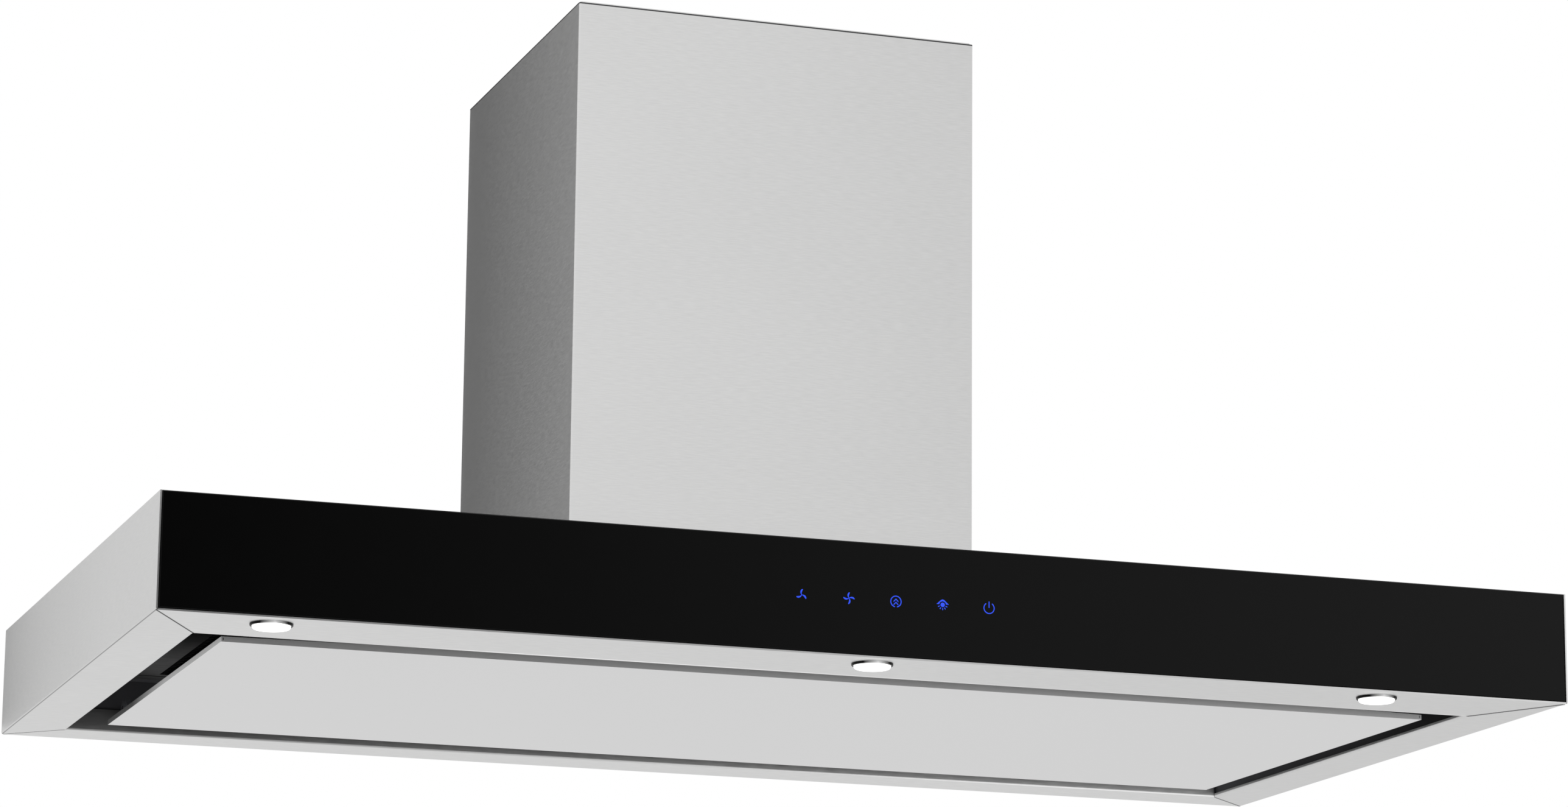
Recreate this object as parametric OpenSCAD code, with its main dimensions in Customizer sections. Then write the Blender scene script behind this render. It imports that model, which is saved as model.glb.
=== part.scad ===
// Wall-hung box range hood with a black glass front, a perimeter suction panel
// and a telescopic chimney.
// X runs to the right, +Y into the wall and +Z up. The origin lies on the wall,
// under the middle of the canopy's lower back edge.

/* [Canopy] */
// Overall width of the canopy
canopy_w = 900; // [880:1:920]
// Depth of the canopy, from the wall to the face of the glass
canopy_d = 504; // [495:1:520]
// Height of the canopy
canopy_h = 70; // [66:0.5:76]
// Thickness of the folded stainless sheet
sheet_t = 1; // [0.8:0.1:1.2]
// Outside radius of the folds in the sheet
fold_r = 1.4; // [1.3:0.1:2]
// Width of the open mitre seam between two rims
seam_gap = 0.4; // [0.2:0.1:0.6]

/* [Rims] */
// Width of the lower rim that carries the lamps
front_rim_w = 70; // [66:1:76]
// Width of the lower rim at each side
side_rim_w = 37; // [32:1:42]
// Width of the lower rim at the wall
back_rim_w = 37; // [34:1:40]
// Height of the upturned lip on the front and side rims
lip_h = 2.6; // [2.2:0.1:4]
// Height of the upturned lip on the back rim
back_lip_h = 15; // [14:0.5:18]

/* [Glass front] */
// Thickness of the toughened glass
glass_t = 5; // [4:0.5:6]
// Gap between the glass and the sheet around it
glass_gap = 0.3; // [0.2:0.1:0.5]
// Width of the ground arris along the edges of the glass
glass_arris = 0.6; // [0.4:0.1:1]
// Thickness of the foam tape that bonds the glass
tape_t = 1; // [0.8:0.1:1.5]
// Width of each strip of tape
tape_w = 10; // [6:1:10]
// Distance of each strip of tape from the ends and edges of its carrier
tape_inset = 3; // [2:0.5:4]
// Width of the flanges on the carrier behind the glass
carrier_flange_w = 9; // [7:0.5:10]

/* [Touch control] */
// Number of touch keys
key_count = 5; // [3:1:5]
// Spacing of the touch keys
key_pitch = 30; // [28:1:32]
// Radius of the light guide behind each key
guide_r = 4.5; // [3.5:0.5:5.5]
// Width of the control housing
control_w = 160; // [155:1:170]
// Height of the control housing
control_h = 32; // [28:1:34]
// Depth of the control housing
control_d = 12; // [11:0.5:13]
// Wall of the control housing
control_wall = 2; // [1.5:0.5:2.5]
// Distance from the glass to the touch board
board_setback = 7; // [5:0.5:7]
// Thickness of a circuit board
board_t = 1.6; // [1:0.2:2]

/* [Lamps] */
// Distance of the left lamp from the left side
lamp_left_inset = 72.5; // [65:0.5:90]
// Distance of the right lamp from the right side
lamp_right_inset = 122; // [100:0.5:125]
// Offset of the middle lamp from the centre line
lamp_mid_x = -7; // [-10:0.5:10]
// Distance of the lamps from the front edge
lamp_front_inset = 22; // [21:0.5:30]
// Outside radius of the lamp bezel
bezel_r = 12.7; // [12.5:0.1:13.5]
// Height of the bezel below the rim
bezel_h = 1.3; // [1:0.1:2]
// Width of the bezel around the lens
bezel_wall = 1.2; // [0.8:0.1:1.4]
// Outside radius of the bezel's neck
neck_r = 11; // [10:0.1:11.2]
// Wall of the bezel's neck
neck_wall = 1.2; // [1:0.1:1.6]
// Clearance of the lamp in its hole and of the lens in its bezel
lamp_clear = 0.1; // [0.05:0.05:0.2]
// Height of the bezel's neck above the rim's underside
neck_h = 7; // [5:0.5:7.5]
// Height of the part of the lens that stands below its bezel
lens_h = 1.9; // [1.5:0.1:2.5]
// Outside radius of the lens's rounded edge
lens_edge_r = 1.8; // [1:0.1:2]
// Height of the lamp's heat sink
sink_h = 9; // [8:1:9]
// Number of gaps between the heat sink's fins
fin_count = 2; // [1:1:3]
// Thickness of a fin
fin_t = 2; // [1.5:0.1:2.2]
// Depth of the fins
fin_d = 5; // [3:0.5:6]

/* [Filter tray and filters] */
// Thickness of the tray's sheet
tray_t = 1; // [0.8:0.1:1.2]
// Gap between the folds of the rims and the tray's walls
tray_gap = 0.1; // [0.1:0.1:0.4]
// Height of the tray's ceiling above the rims
tray_z = 35; // [34:0.5:37]
// Width of the tray's foot flange on the rims
tray_flange_w = 8; // [5:1:9]
// Number of grease filters
filter_count = 3;
// Width of the tray's ceiling at each side of the filters
side_border = 22; // [18:1:26]
// Width of the tray's ceiling in front of the filters
front_border = 34; // [32:1:37]
// Width of the tray's ceiling behind the filters
back_border = 42; // [38:1:46]
// Width of the tray's ceiling between two filters
filter_divider = 16; // [12:1:20]
// Gap around each filter
filter_gap = 0.8; // [0.5:0.1:1.2]
// Thickness of a filter
filter_t = 9; // [8:0.5:10]
// How far a filter stands below the tray's ceiling
filter_drop = 5; // [4:0.5:5.5]
// Width of the filter's frame in the filter's face
filter_bar_w = 14; // [13:0.5:16]
// Wall of the filter's frame channel
filter_wall = 1.2; // [1:0.1:1.5]
// Number of folds in the filter's wire mesh
mesh_folds = 26; // [20:1:30]
// Thickness of the wire mesh
mesh_t = 0.6; // [0.4:0.1:0.8]
// How far the filter's rear tongues and its bolt reach over the tray
tongue_reach = 5; // [4:0.5:6]
// Width of each rear tongue
tongue_w = 20; // [16:1:24]
// Thickness of each rear tongue
tongue_t = 1.2; // [1:0.1:1.6]
// Travel of the filter's latch
latch_travel = 6; // [5:0.5:6]
// Width of the latch's bolt
bolt_w = 18; // [14:1:20]
// Width of the latch's handle
latch_w = 52; // [46:1:60]
// Depth of the latch's handle
latch_d = 26; // [22:1:30]
// Thickness of the latch's bolt and handle
latch_t = 2; // [1.6:0.1:2.2]
// Thickness of the latch's stem
stem_t = 3; // [2.5:0.1:3.4]
// Height of the finger lip under the handle
lip_drop = 5; // [4:0.5:6]

/* [Suction panel] */
// Gap between the front rim and the panel
panel_gap_front = 20; // [18:0.5:20]
// Gap between each side rim and the panel
panel_gap_side = 20.8; // [19:0.2:23]
// Gap between the back rim and the panel
panel_gap_back = 33; // [31:0.5:34]
// Height of the panel's upturned edge
panel_edge_h = 3.2; // [2.8:0.1:3.4]
// How far the panel stands below the rims
panel_drop = 0.3; // [0:0.1:0.6]
// Thickness of the panel's sheet
panel_t = 1; // [0.8:0.1:1.2]
// Open corner between two upturned edges
corner_gap = 0.5; // [0.3:0.1:0.8]
// Distance from the panel's sides to its stiffening frame
stiffener_side_inset = 40; // [36:1:50]
// Distance from the panel's front edge to its stiffening frame
stiffener_front_inset = 19; // [18:1:27]
// Distance from the panel's back edge to its stiffening frame
stiffener_back_inset = 30; // [28:1:40]
// Width of the stiffening frame's channel
stiffener_w = 20; // [16:1:24]
// Height of the stiffening frame's channel
stiffener_h = 8; // [6:0.5:9]
// Thickness of the stiffening frame's channel
channel_t = 1; // [0.8:0.1:1.2]

/* [Panel hinge and catches] */
// Distance of each hinge from the panel's side
hinge_side_inset = 14.2; // [12:0.2:20]
// Distance of the hinge axis behind the panel's back edge
hinge_setback = 8; // [7:0.5:9]
// Height of the hinge axis above the rims
hinge_z = 12; // [11.5:0.5:13]
// Radius of the hinge pins
pin_r = 2; // [1.5:0.1:2.2]
// Running clearance around a pin
pin_clear = 0.06; // [0.04:0.01:0.1]
// Thickness of the hinge plates
plate_t = 3; // [2:0.5:3]
// Radius of the eye around each hinge pin
eye_r = 5; // [4:0.5:5.5]
// Gap between a hinge's two plates
plate_gap = 0.8; // [0.6:0.1:1.2]
// Thickness of the hinges' feet
hinge_foot_t = 1.5; // [1.2:0.1:2]
// Width of the moving plates' feet
arm_foot_w = 11; // [8:1:14]
// Length of the moving plates' feet
arm_foot_l = 24; // [20:1:30]
// Width of the fixed plates' feet
hook_foot_w = 20; // [16:1:24]
// Distance of each catch from the panel's side
catch_side_inset = 62.2; // [55:0.2:75]
// Width of each catch
catch_w = 36; // [28:1:40]
// Depth of each catch
catch_d = 9; // [8:0.5:10]
// Distance of the catches behind the panel's front edge
catch_inset = 2; // [1.5:0.5:2.5]
// Height of the strikers on the panel
striker_h = 13; // [10:0.5:15]
// Thickness of the strikers
striker_t = 1.5; // [1.2:0.1:2]
// Air gap between a catch and its striker
catch_gap = 0.3; // [0.2:0.1:0.5]

/* [Blower frame] */
// Width of the blower frame
frame_w = 244; // [240:1:260]
// Gap between the scroll's flange and the blower frame's cover
frame_front_gap = 10.5; // [8:0.5:20]
// Height of the blower frame
frame_h = 250; // [246:1:270]
// Thickness of the blower frame's sheet
frame_t = 1.5; // [1.2:0.1:1.6]
// Width of the frame's foot flange around the opening
frame_flange_w = 12; // [10:1:14]
// Height of the hanging plate above the frame
hang_h = 52; // [46:1:56]
// Distance of the hanging holes from the hanging plate's top
hang_inset = 22; // [16:1:26]
// Spacing of the hanging holes
hang_pitch = 180; // [160:1:200]
// Radius of the hanging holes
hang_hole_r = 4; // [3:0.5:5]
// Spacing of the safety holes in the canopy's back
safety_pitch = 500; // [400:1:560]
// Height of the safety holes
safety_z = 52; // [48:1:58]
// Radius of the safety holes
safety_hole_r = 3; // [2:0.5:4]

/* [Blower] */
// Outside radius of the impeller
imp_r = 80; // [78:0.5:80]
// Length of the impeller's blades across both inlets
imp_len = 104; // [98:1:106]
// Radial depth of a blade
blade_depth = 14; // [12:0.5:15]
// Thickness of a blade
blade_t = 1.2; // [1:0.1:1.6]
// Number of blades
blade_count = 36; // [30:1:40]
// Thickness of the impeller's end rings and of its middle disc
ring_t = 2; // [1.6:0.1:2.4]
// Forward rake of the blades
blade_rake = 25; // [15:1:35]
// Radius of the impeller's hub
hub_r = 14; // [12:0.5:16]
// Length of the hub from the middle of the impeller towards the motor
hub_inner = 6; // [5:0.5:8]
// Length of the hub from the middle of the impeller away from the motor
hub_outer = 12; // [10:0.5:14]
// Radius of the motor shaft
shaft_r = 4; // [3:0.5:4.5]
// Gap between the impeller and the scroll's tongue
tongue_gap = 3.5; // [3:0.5:3.5]
// Growth of the scroll from its tongue to its outlet
scroll_growth = 30; // [26:1:31]
// Width of the scroll across both halves
scroll_w = 124; // [122:1:128]
// Wall of the scroll
scroll_wall = 2.5; // [2:0.1:2.5]
// Gap between the scroll and the blower frame's back
scroll_back_gap = 3; // [2:0.5:8]
// Gap between the scroll and the blower frame's foot
scroll_low_gap = 5.75; // [4:0.25:10]
// Radius of the inlets
inlet_r = 62; // [58:1:64]
// Depth of the rolled edge of the inlets
inlet_roll = 4; // [3:0.5:5]
// Thickness of the rolled edge of the inlets
inlet_roll_t = 3; // [2:0.5:4]
// Radius of the motor
motor_r = 42; // [38:1:44]
// Length of the motor
motor_len = 74; // [68:1:80]
// Length of the motor's end bells
bell_l = 10; // [8:0.5:12]
// Step in radius from the motor's body to its end bells
bell_step = 5; // [3:0.5:6]
// Radius of the cooling holes in the motor's end
motor_hole_r = 3.5; // [2.5:0.5:4]
// Gap between the motor and the impeller's hub
hub_gap = 4; // [3:0.5:6]
// Thickness of the motor's spider bracket
spider_t = 4; // [3:0.5:5]
// Width of the spider's ring round the motor
spider_ring_w = 6; // [5:0.5:8]
// Width of the spider's arms
spider_arm_w = 12; // [10:1:14]

/* [Electrics] */
// Width of the control module
module_w = 120; // [100:1:130]
// Height of the control module
module_h = 90; // [80:1:100]
// Depth of the control module
module_d = 22; // [18:1:24]
// Height of the control module above the canopy
module_z = 40; // [30:1:50]
// Wall of the control module
module_wall = 2; // [1.5:0.5:2.5]
// Radius of the capacitor
cap_r = 15; // [12:0.5:16]
// Length of the capacitor
cap_len = 60; // [50:1:70]
// Distance of the capacitor from the blower frame's side
cap_gap = 3; // [2:0.5:6]
// Gap between the control module and the upper chimney cover
module_gap = 7.5; // [5:0.5:12]
// Height of the control module's relay
relay_h = 28; // [20:1:36]
// Width of the control module's relay
relay_w = 22; // [16:1:28]
// Number of terminals on the control module's board
terminal_count = 3; // [2:1:4]
// Width of each terminal
terminal_w = 10; // [8:0.5:11]
// Height of each terminal
terminal_h = 14; // [10:1:18]
// Radius of the cable that the gland takes
gland_bore_r = 4; // [3:0.5:4.5]
// Outside radius of the gland's nut
gland_r = 9; // [8:0.5:9.5]
// Height of the gland above the module
gland_h = 20; // [16:1:24]
// Height of the gland's nut
nut_h = 7; // [5:0.5:9]
// Wall of the gland's threaded neck
gland_wall = 2; // [1.5:0.1:2.5]

/* [Outlet collar] */
// Outside radius of the collar that the duct slips over
collar_r = 75; // [74:0.5:76]
// Wall of the collar
collar_wall = 1.5; // [1.2:0.1:2]
// Height of the collar above the blower frame
collar_h = 45; // [40:1:50]
// Width of the collar's foot flange
collar_flange_w = 12; // [10:1:14]
// Thickness of the collar's foot flange and of its ledge
collar_flange_t = 2; // [1.6:0.1:2.4]
// Height of the flap rod above the blower frame
rod_h = 20; // [18:1:24]
// Radius of the flap rod
rod_r = 1.5; // [1.2:0.1:1.8]
// Thickness of the flaps
flap_t = 1.2; // [1:0.1:1.6]
// Clearance of the flaps in the collar
flap_clear = 0.8; // [0.6:0.1:1.2]
// Outside radius of the flaps' knuckles
knuckle_r = 3.2; // [3:0.1:3.6]
// Length of each knuckle
knuckle_l = 18; // [12:1:22]
// Gap between two knuckles
knuckle_gap = 2; // [1:0.5:3]
// Distance of the outer knuckles from the collar's inside
knuckle_inset = 13.5; // [12:0.5:16]
// Width of the ledge that the flaps close on
ledge_w = 3.5; // [3:0.5:4.5]

/* [Chimney] */
// Height of the lower chimney cover
chimney_h = 393; // [380:1:430]
// Gap between the lower and the upper cover
cover_gap = 0.5; // [0.4:0.1:0.6]
// How far the lowered upper cover shows above the lower one
cover_show = 2; // [0.5:0.5:4]
// Height of the angles that carry the covers
angle_h = 18; // [14:1:22]
// Thickness of the angles and of the ceiling bracket
angle_t = 1.5; // [1.2:0.1:2]
// Width of the angles' feet
angle_foot_w = 12; // [10:0.5:14]
// Gap between the blower frame and the angles' feet
angle_gap = 3; // [1:0.5:6]
// Length of each angle
angle_len = 150; // [120:1:170]
// Distance of each angle's screws from its ends
angle_screw_inset = 15; // [10:1:20]
// Height of the ceiling bracket
bracket_h = 24; // [20:1:30]
// Depth of the ceiling bracket's ears
ear_d = 24; // [20:1:28]
// Spacing of the ceiling bracket's wall holes
bracket_pitch = 200; // [180:1:220]
// Radius of the ceiling bracket's wall holes
bracket_hole_r = 3; // [2:0.5:4]
// Distance of the ceiling bracket below the upper cover's edge
bracket_inset = 1; // [0.5:0.5:3]
// Distance of the ceiling bracket's rivets from the edges of its ears
rivet_inset = 6; // [5:0.5:8]
// Radius of the rivets' heads
rivet_head_r = 3.3; // [2.8:0.1:3.8]
// Height of the rivets' heads
rivet_head_h = 1; // [0.6:0.1:1.4]
// Number of vent slots in each side of the upper cover
vent_count = 6; // [4:1:8]
// Height of a vent slot
vent_h = 4; // [3:0.5:5]
// Length of a vent slot
vent_len = 90; // [70:1:110]
// Spacing of the vent slots
vent_pitch = 8.8; // [7:0.2:11]
// Distance from the ceiling bracket down to the first vent slot
vent_drop = 12; // [8:1:20]

/* [Fasteners] */
// Radius of a screw's shank
screw_r = 2; // [1.5:0.1:2.2]
// Clearance of a screw in its hole
screw_clear = 0.2; // [0.1:0.05:0.3]
// Radius of a screw's head
head_r = 3.8; // [3.2:0.1:4.2]
// Height of a screw's head
head_h = 2; // [1.6:0.1:2.4]
// Length of a screw's shank
screw_len = 7; // [6:0.5:8]

/* [Hidden] */
$fn = 48;
cut = 1; // how far a cutting shape runs past the face that it cuts

// Canopy
half_w = canopy_w / 2;
front_y = -canopy_d;
web_y = front_y + glass_t + tape_t;
carrier_x = half_w - sheet_t - glass_gap;
well_x = half_w - side_rim_w;
well_front = front_y + front_rim_w;
well_back = -back_rim_w;
front_slope = front_rim_w / side_rim_w;
back_slope = back_rim_w / side_rim_w;

// Lamps
LAMP_X = [-half_w + lamp_left_inset, lamp_mid_x, half_w - lamp_right_inset];
lamp_y = front_y + lamp_front_inset;
lens_r = bezel_r - bezel_wall - lamp_clear;
lens_seat = 0.5; // depth of the lens's shoulder below the rim
sink_r = neck_r + 2; // the sink is wider than its hole

// Tray and filters
tray_x = well_x + fold_r + tray_gap;
tray_front = well_front - fold_r - tray_gap;
tray_back = well_back + fold_r + tray_gap;
opening_w = (2 * tray_x - 2 * side_border - (filter_count - 1) * filter_divider) / filter_count;
opening_front = tray_front + front_border;
opening_back = tray_back - back_border;
opening_d = opening_back - opening_front;
FILTER_X = [for (i = [0 : filter_count - 1]) (i - (filter_count - 1) / 2) * (opening_w + filter_divider)];
filter_w = opening_w - 2 * filter_gap;
filter_d = opening_d - 2 * filter_gap;
filter_z = tray_z - filter_drop;
mesh_clear = 0.2;
mesh_w = filter_w - 2 * filter_wall - 2 * mesh_clear;
mesh_d = filter_d - 2 * filter_wall - 2 * mesh_clear;
mesh_h = filter_t - 2 * filter_wall - 2 * mesh_clear;
latch_gap = 0.4; // clearance of the moving latch
notch_d = latch_gap + stem_t + latch_travel + latch_gap;

// Suction panel
panel_x = well_x - panel_gap_side;
panel_front = well_front + panel_gap_front;
panel_back = well_back - panel_gap_back;
panel_d = panel_back - panel_front;
panel_floor = -panel_drop + panel_t;
stiffener_x = panel_x - stiffener_side_inset;
stiffener_front = panel_front + stiffener_front_inset;
stiffener_back = panel_back - stiffener_back_inset;

// Hinge and catches
hinge_x = panel_x - hinge_side_inset;
hinge_y = panel_back + hinge_setback;
arm_clear = 0.5; // clearance of the hinge plates over the panel's edge and off the back rim
catch_x = panel_x - catch_side_inset;
catch_y = panel_front + panel_t + catch_inset + catch_d / 2;
striker_top = panel_floor + striker_h;
catch_low = striker_top + catch_gap;

// Scroll
tongue_a = 60; // angle of the scroll's tongue above the horizontal
scroll_r0 = imp_r + tongue_gap + scroll_wall;
scroll_sweep = 180 + tongue_a;
function scroll_r(a) = scroll_r0 + scroll_growth * a / scroll_sweep;
half_scroll = scroll_w / 2;
axis_y = frame_t + scroll_back_gap + scroll_r(tongue_a);
axis_h = frame_t + scroll_low_gap + scroll_r(tongue_a + 90);
axis = [0, -axis_y, canopy_h + axis_h];
scroll_top = frame_h - frame_t - axis_h;
outlet_flange_w = collar_r - half_scroll + 1; // covers the hole under the collar
outlet_flange_t = scroll_wall;
spider_screw_r = inlet_r + 8;
spider_r = spider_screw_r + 6;
SPIDER_ANGLES = [90, 210, 330];
motor_front = -hub_inner - hub_gap;
shaft_clear = 0.05;
shaft_inset = 12; // distance of the shaft's end from the motor's far end
grip = 0.02; // clearance of a pin, shaft or rivet that its hole grips

// Blower frame
frame_x = frame_w / 2;
frame_d = axis_y + scroll_r(scroll_sweep) + outlet_flange_w + frame_front_gap + frame_t;
frame_top = canopy_h + frame_h;
hole_x = frame_x - frame_flange_w;
hole_front = -frame_d + frame_flange_w;
hole_back = -frame_flange_w;
hang_z = frame_top + hang_h - hang_inset;

// Electrics
module_base = canopy_h + module_z;
module_back = -frame_d;
board_clear = 0.3; // gap round the module's board

// Chimney covers
chimney_w = frame_w + 2 * (angle_gap + angle_foot_w + sheet_t);
upper_d = frame_d + module_d + module_gap + sheet_t;
chimney_d = upper_d + cover_gap + sheet_t;
upper_w = chimney_w - 2 * (sheet_t + cover_gap);
upper_in = upper_w / 2 - sheet_t;
seat_gap = 0.3; // gap between the lowered upper cover and the angles
upper_low = canopy_h + angle_h + seat_gap;
upper_top = canopy_h + chimney_h + cover_show;
angle_x = chimney_w / 2 - sheet_t;
angle_y = -chimney_d / 2;
bracket_low = upper_top - bracket_inset - bracket_h;
rivet_y = -ear_d + rivet_inset;
RIVET_Z = [bracket_low + rivet_inset, bracket_low + bracket_h - rivet_inset];

// Collar and flaps
collar_y = -chimney_d / 2;
collar_in = collar_r - collar_wall;
rod_z = frame_top + rod_h;
flap_r = collar_in - flap_clear;
flap_rest = 0.3; // gap between a closed flap and its ledge
flap_root = knuckle_r + flap_t / 2; // distance of a flap's leaf from the rod
KNUCKLE_X = [-collar_in + knuckle_inset, knuckle_gap / 2]; // starts of one flap's two knuckles

// Fasteners
screw_hole_r = screw_r + screw_clear;
FRAME_SCREWS = [for (sx = [-1, 1], y = [-frame_flange_w / 2, -frame_d + frame_flange_w / 2 + frame_t])
    [sx * (frame_x - frame_flange_w / 2), y]];
ANGLE_SCREWS = [for (sx = [-1, 1], sy = [-1, 1])
    [sx * (angle_x - angle_foot_w / 2), angle_y + sy * (angle_len / 2 - angle_screw_inset)]];
BASE_SCREWS = concat(FRAME_SCREWS, ANGLE_SCREWS);

STEEL = [0.80, 0.80, 0.79];
DARK_STEEL = [0.13, 0.13, 0.14];
GALVANISED = [0.66, 0.68, 0.69];
ALUMINIUM = [0.76, 0.77, 0.78];
BLACK_GLASS = [0.03, 0.03, 0.035];
BLACK_PLASTIC = [0.10, 0.10, 0.11];
GREY_PLASTIC = [0.45, 0.46, 0.48];
BOARD_GREEN = [0.08, 0.30, 0.16];
CHROME = [0.55, 0.56, 0.58];
OPAL = [0.97, 0.97, 0.95];

// ---- Shared shapes ----

// Box from its lowest corner to its highest corner
module block(low, high) {
    translate(low) cube(high - low);
}

// Rectangle from the origin with its lower right corner rounded
module corner_rounded(w, h, r) {
    square([w - r, h]);
    translate([0, r]) square([w, h - r]);
    intersection() {
        translate([w - r, r]) circle(r = r);
        square([w, r]);
    }
}

// Section of a sheet that runs w along the floor and turns up h at its far end
module angle_section(w, h, t, r) {
    difference() {
        corner_rounded(w, h, r);
        translate([-cut, t]) corner_rounded(w + cut - t, h, r - t);
    }
}

// Section of a sheet folded into a channel with legs of two heights
module channel_section(w, left_h, right_h, t, r) {
    translate([w / 2, 0]) {
        angle_section(w / 2, right_h, t, r);
        mirror([1, 0]) angle_section(w / 2, left_h, t, r);
    }
}

// Extrudes a section drawn in Y and Z along X, from x0 to x1
module along_x(x0, x1) {
    translate([x0, 0, 0]) rotate([90, 0, 90]) linear_extrude(x1 - x0) children();
}

// Turns a shape built along Z so that it lies along X, at the impeller's axis
module on_axis() {
    translate(axis) rotate([90, 0, 90]) children();
}

// The shape and its mirror image at the other side
module both_sides() {
    children();
    mirror([1, 0, 0]) children();
}

// ---- Canopy ----

// Areas that the side sheet leaves free at its two mitres
module side_mitre_cut() {
    x0 = -half_w + sheet_t;
    x1 = -well_x + cut;
    gap = seam_gap / 2;
    function front_line(x) = front_y + (x + half_w) * front_slope + gap * front_slope;
    function back_line(x) = -(x + half_w) * back_slope - gap * back_slope;
    polygon([[x0, front_y - cut], [x1, front_y - cut], [x1, front_line(x1)], [x0, front_line(x0)]]);
    polygon([[x0, cut], [x0, back_line(x0)], [x1, back_line(x1)], [x1, cut]]);
}

module side_sheet() {
    difference() {
        translate([-half_w, 0, 0]) rotate([90, 0, 0]) linear_extrude(canopy_d)
            channel_section(side_rim_w, canopy_h, lip_h, sheet_t, fold_r);
        translate([0, 0, -cut]) linear_extrude(lip_h + 2 * cut) side_mitre_cut();
    }
}

module left_side() {
    color(STEEL) side_sheet();
}

module right_side() {
    color(STEEL) mirror([1, 0, 0]) side_sheet();
}

// Area of a rim between its two mitres, from its outer edge to its inner edge
module rim_area(outer_y, inner_y, slope) {
    side = sign(inner_y - outer_y);
    gap = seam_gap / 2;
    outer_x = half_w - sheet_t - gap;
    meet_y = outer_y + side * (half_w - gap - outer_x) * slope;
    inner_x = well_x - gap;
    polygon([[-outer_x, outer_y - side * cut], [outer_x, outer_y - side * cut],
        [outer_x, meet_y], [inner_x, inner_y], [inner_x, inner_y + side * cut],
        [-inner_x, inner_y + side * cut], [-inner_x, inner_y], [-outer_x, meet_y]]);
}

module front_rim() {
    color(STEEL) difference() {
        intersection() {
            along_x(-half_w, half_w) translate([front_y, 0])
                angle_section(front_rim_w, lip_h, sheet_t, fold_r);
            translate([0, 0, -cut]) linear_extrude(lip_h + 2 * cut)
                rim_area(front_y, well_front, front_slope);
        }
        for (x = LAMP_X) translate([x, lamp_y, -cut]) cylinder(r = neck_r + lamp_clear, h = sheet_t + 2 * cut);
    }
}

module back_panel() {
    wall_x = half_w - sheet_t - seam_gap / 2;
    color(STEEL) difference() {
        along_x(-wall_x, wall_x) translate([well_back, 0]) {
            channel_section(back_rim_w, back_lip_h, canopy_h, sheet_t, fold_r);
            // the corner against the wall is welded square
            translate([back_rim_w - fold_r, 0]) square(fold_r);
        }
        // the rim and its lip stop at the mitres, and the upright wall runs through
        difference() {
            translate([0, 0, -cut]) linear_extrude(back_lip_h + 2 * cut)
                translate([-half_w, well_back - cut]) square([canopy_w, back_rim_w - sheet_t + cut]);
            translate([0, 0, -2 * cut]) linear_extrude(back_lip_h + 4 * cut)
                rim_area(0, well_back, back_slope);
        }
        for (sx = [-1, 1]) translate([sx * safety_pitch / 2, cut, safety_z])
            rotate([90, 0, 0]) cylinder(r = safety_hole_r, h = sheet_t + 2 * cut);
    }
}

module canopy_top() {
    x = half_w - sheet_t;
    color(STEEL) difference() {
        block([-x, web_y, canopy_h - sheet_t], [x, -sheet_t, canopy_h]);
        block([-hole_x, hole_front, canopy_h - sheet_t - cut], [hole_x, hole_back, canopy_h + cut]);
        for (p = BASE_SCREWS) translate([p[0], p[1], canopy_h - sheet_t - cut])
            cylinder(r = screw_hole_r, h = sheet_t + 2 * cut);
    }
}

// ---- Glass front ----

module glass_carrier() {
    low = sheet_t;
    high = canopy_h - sheet_t;
    color(GALVANISED) difference() {
        union() {
            block([-carrier_x, web_y, low], [carrier_x, web_y + sheet_t, high]);
            block([-carrier_x, web_y, low], [carrier_x, web_y + carrier_flange_w, low + sheet_t]);
            block([-carrier_x, web_y, high - sheet_t], [carrier_x, web_y + carrier_flange_w, high]);
        }
        block([-control_w / 2 - glass_gap, web_y - cut, (canopy_h - control_h) / 2 - glass_gap],
            [control_w / 2 + glass_gap, web_y + sheet_t + cut, (canopy_h + control_h) / 2 + glass_gap]);
        for (x = LAMP_X) translate([x, lamp_y, low - cut])
            cylinder(r = neck_r + lamp_clear, h = sheet_t + 2 * cut);
    }
}

module glass_tapes() {
    x = carrier_x - tape_inset;
    low = sheet_t + tape_inset;
    high = canopy_h - tape_inset - tape_w;
    color(BLACK_PLASTIC) for (z = [low, high])
        block([-x, front_y + glass_t, z], [x, web_y, z + tape_w]);
}

module glass_front() {
    low = sheet_t + glass_gap;
    a = glass_arris;
    color(BLACK_GLASS) intersection() {
        along_x(-carrier_x, carrier_x) polygon([
            [front_y + a, low], [front_y + glass_t, low], [front_y + glass_t, canopy_h],
            [front_y + a, canopy_h], [front_y, canopy_h - a], [front_y, low + a]]);
        linear_extrude(2 * canopy_h) polygon([
            [-carrier_x, front_y + a], [-carrier_x + a, front_y], [carrier_x - a, front_y],
            [carrier_x, front_y + a], [carrier_x, front_y + glass_t + cut], [-carrier_x, front_y + glass_t + cut]]);
    }
}

// ---- Touch control ----

module control_housing() {
    y = front_y + glass_t;
    z = (canopy_h - control_h) / 2;
    w = control_wall;
    color(BLACK_PLASTIC) difference() {
        block([-control_w / 2, y, z], [control_w / 2, y + control_d, z + control_h]);
        block([-control_w / 2 + w, y - cut, z + w], [control_w / 2 - w, y + control_d - w, z + control_h - w]);
    }
}

module touch_board() {
    x = control_w / 2 - control_wall - glass_gap;
    z = control_h / 2 - control_wall - glass_gap;
    y = front_y + glass_t + board_setback;
    color(BOARD_GREEN) block([-x, y, canopy_h / 2 - z], [x, y + board_t, canopy_h / 2 + z]);
}

module key_light_guides() {
    color(OPAL) for (i = [0 : key_count - 1])
        translate([(i - (key_count - 1) / 2) * key_pitch, front_y + glass_t, canopy_h / 2])
            rotate([-90, 0, 0]) cylinder(r = guide_r, h = board_setback);
}

// ---- Lamps ----

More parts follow.
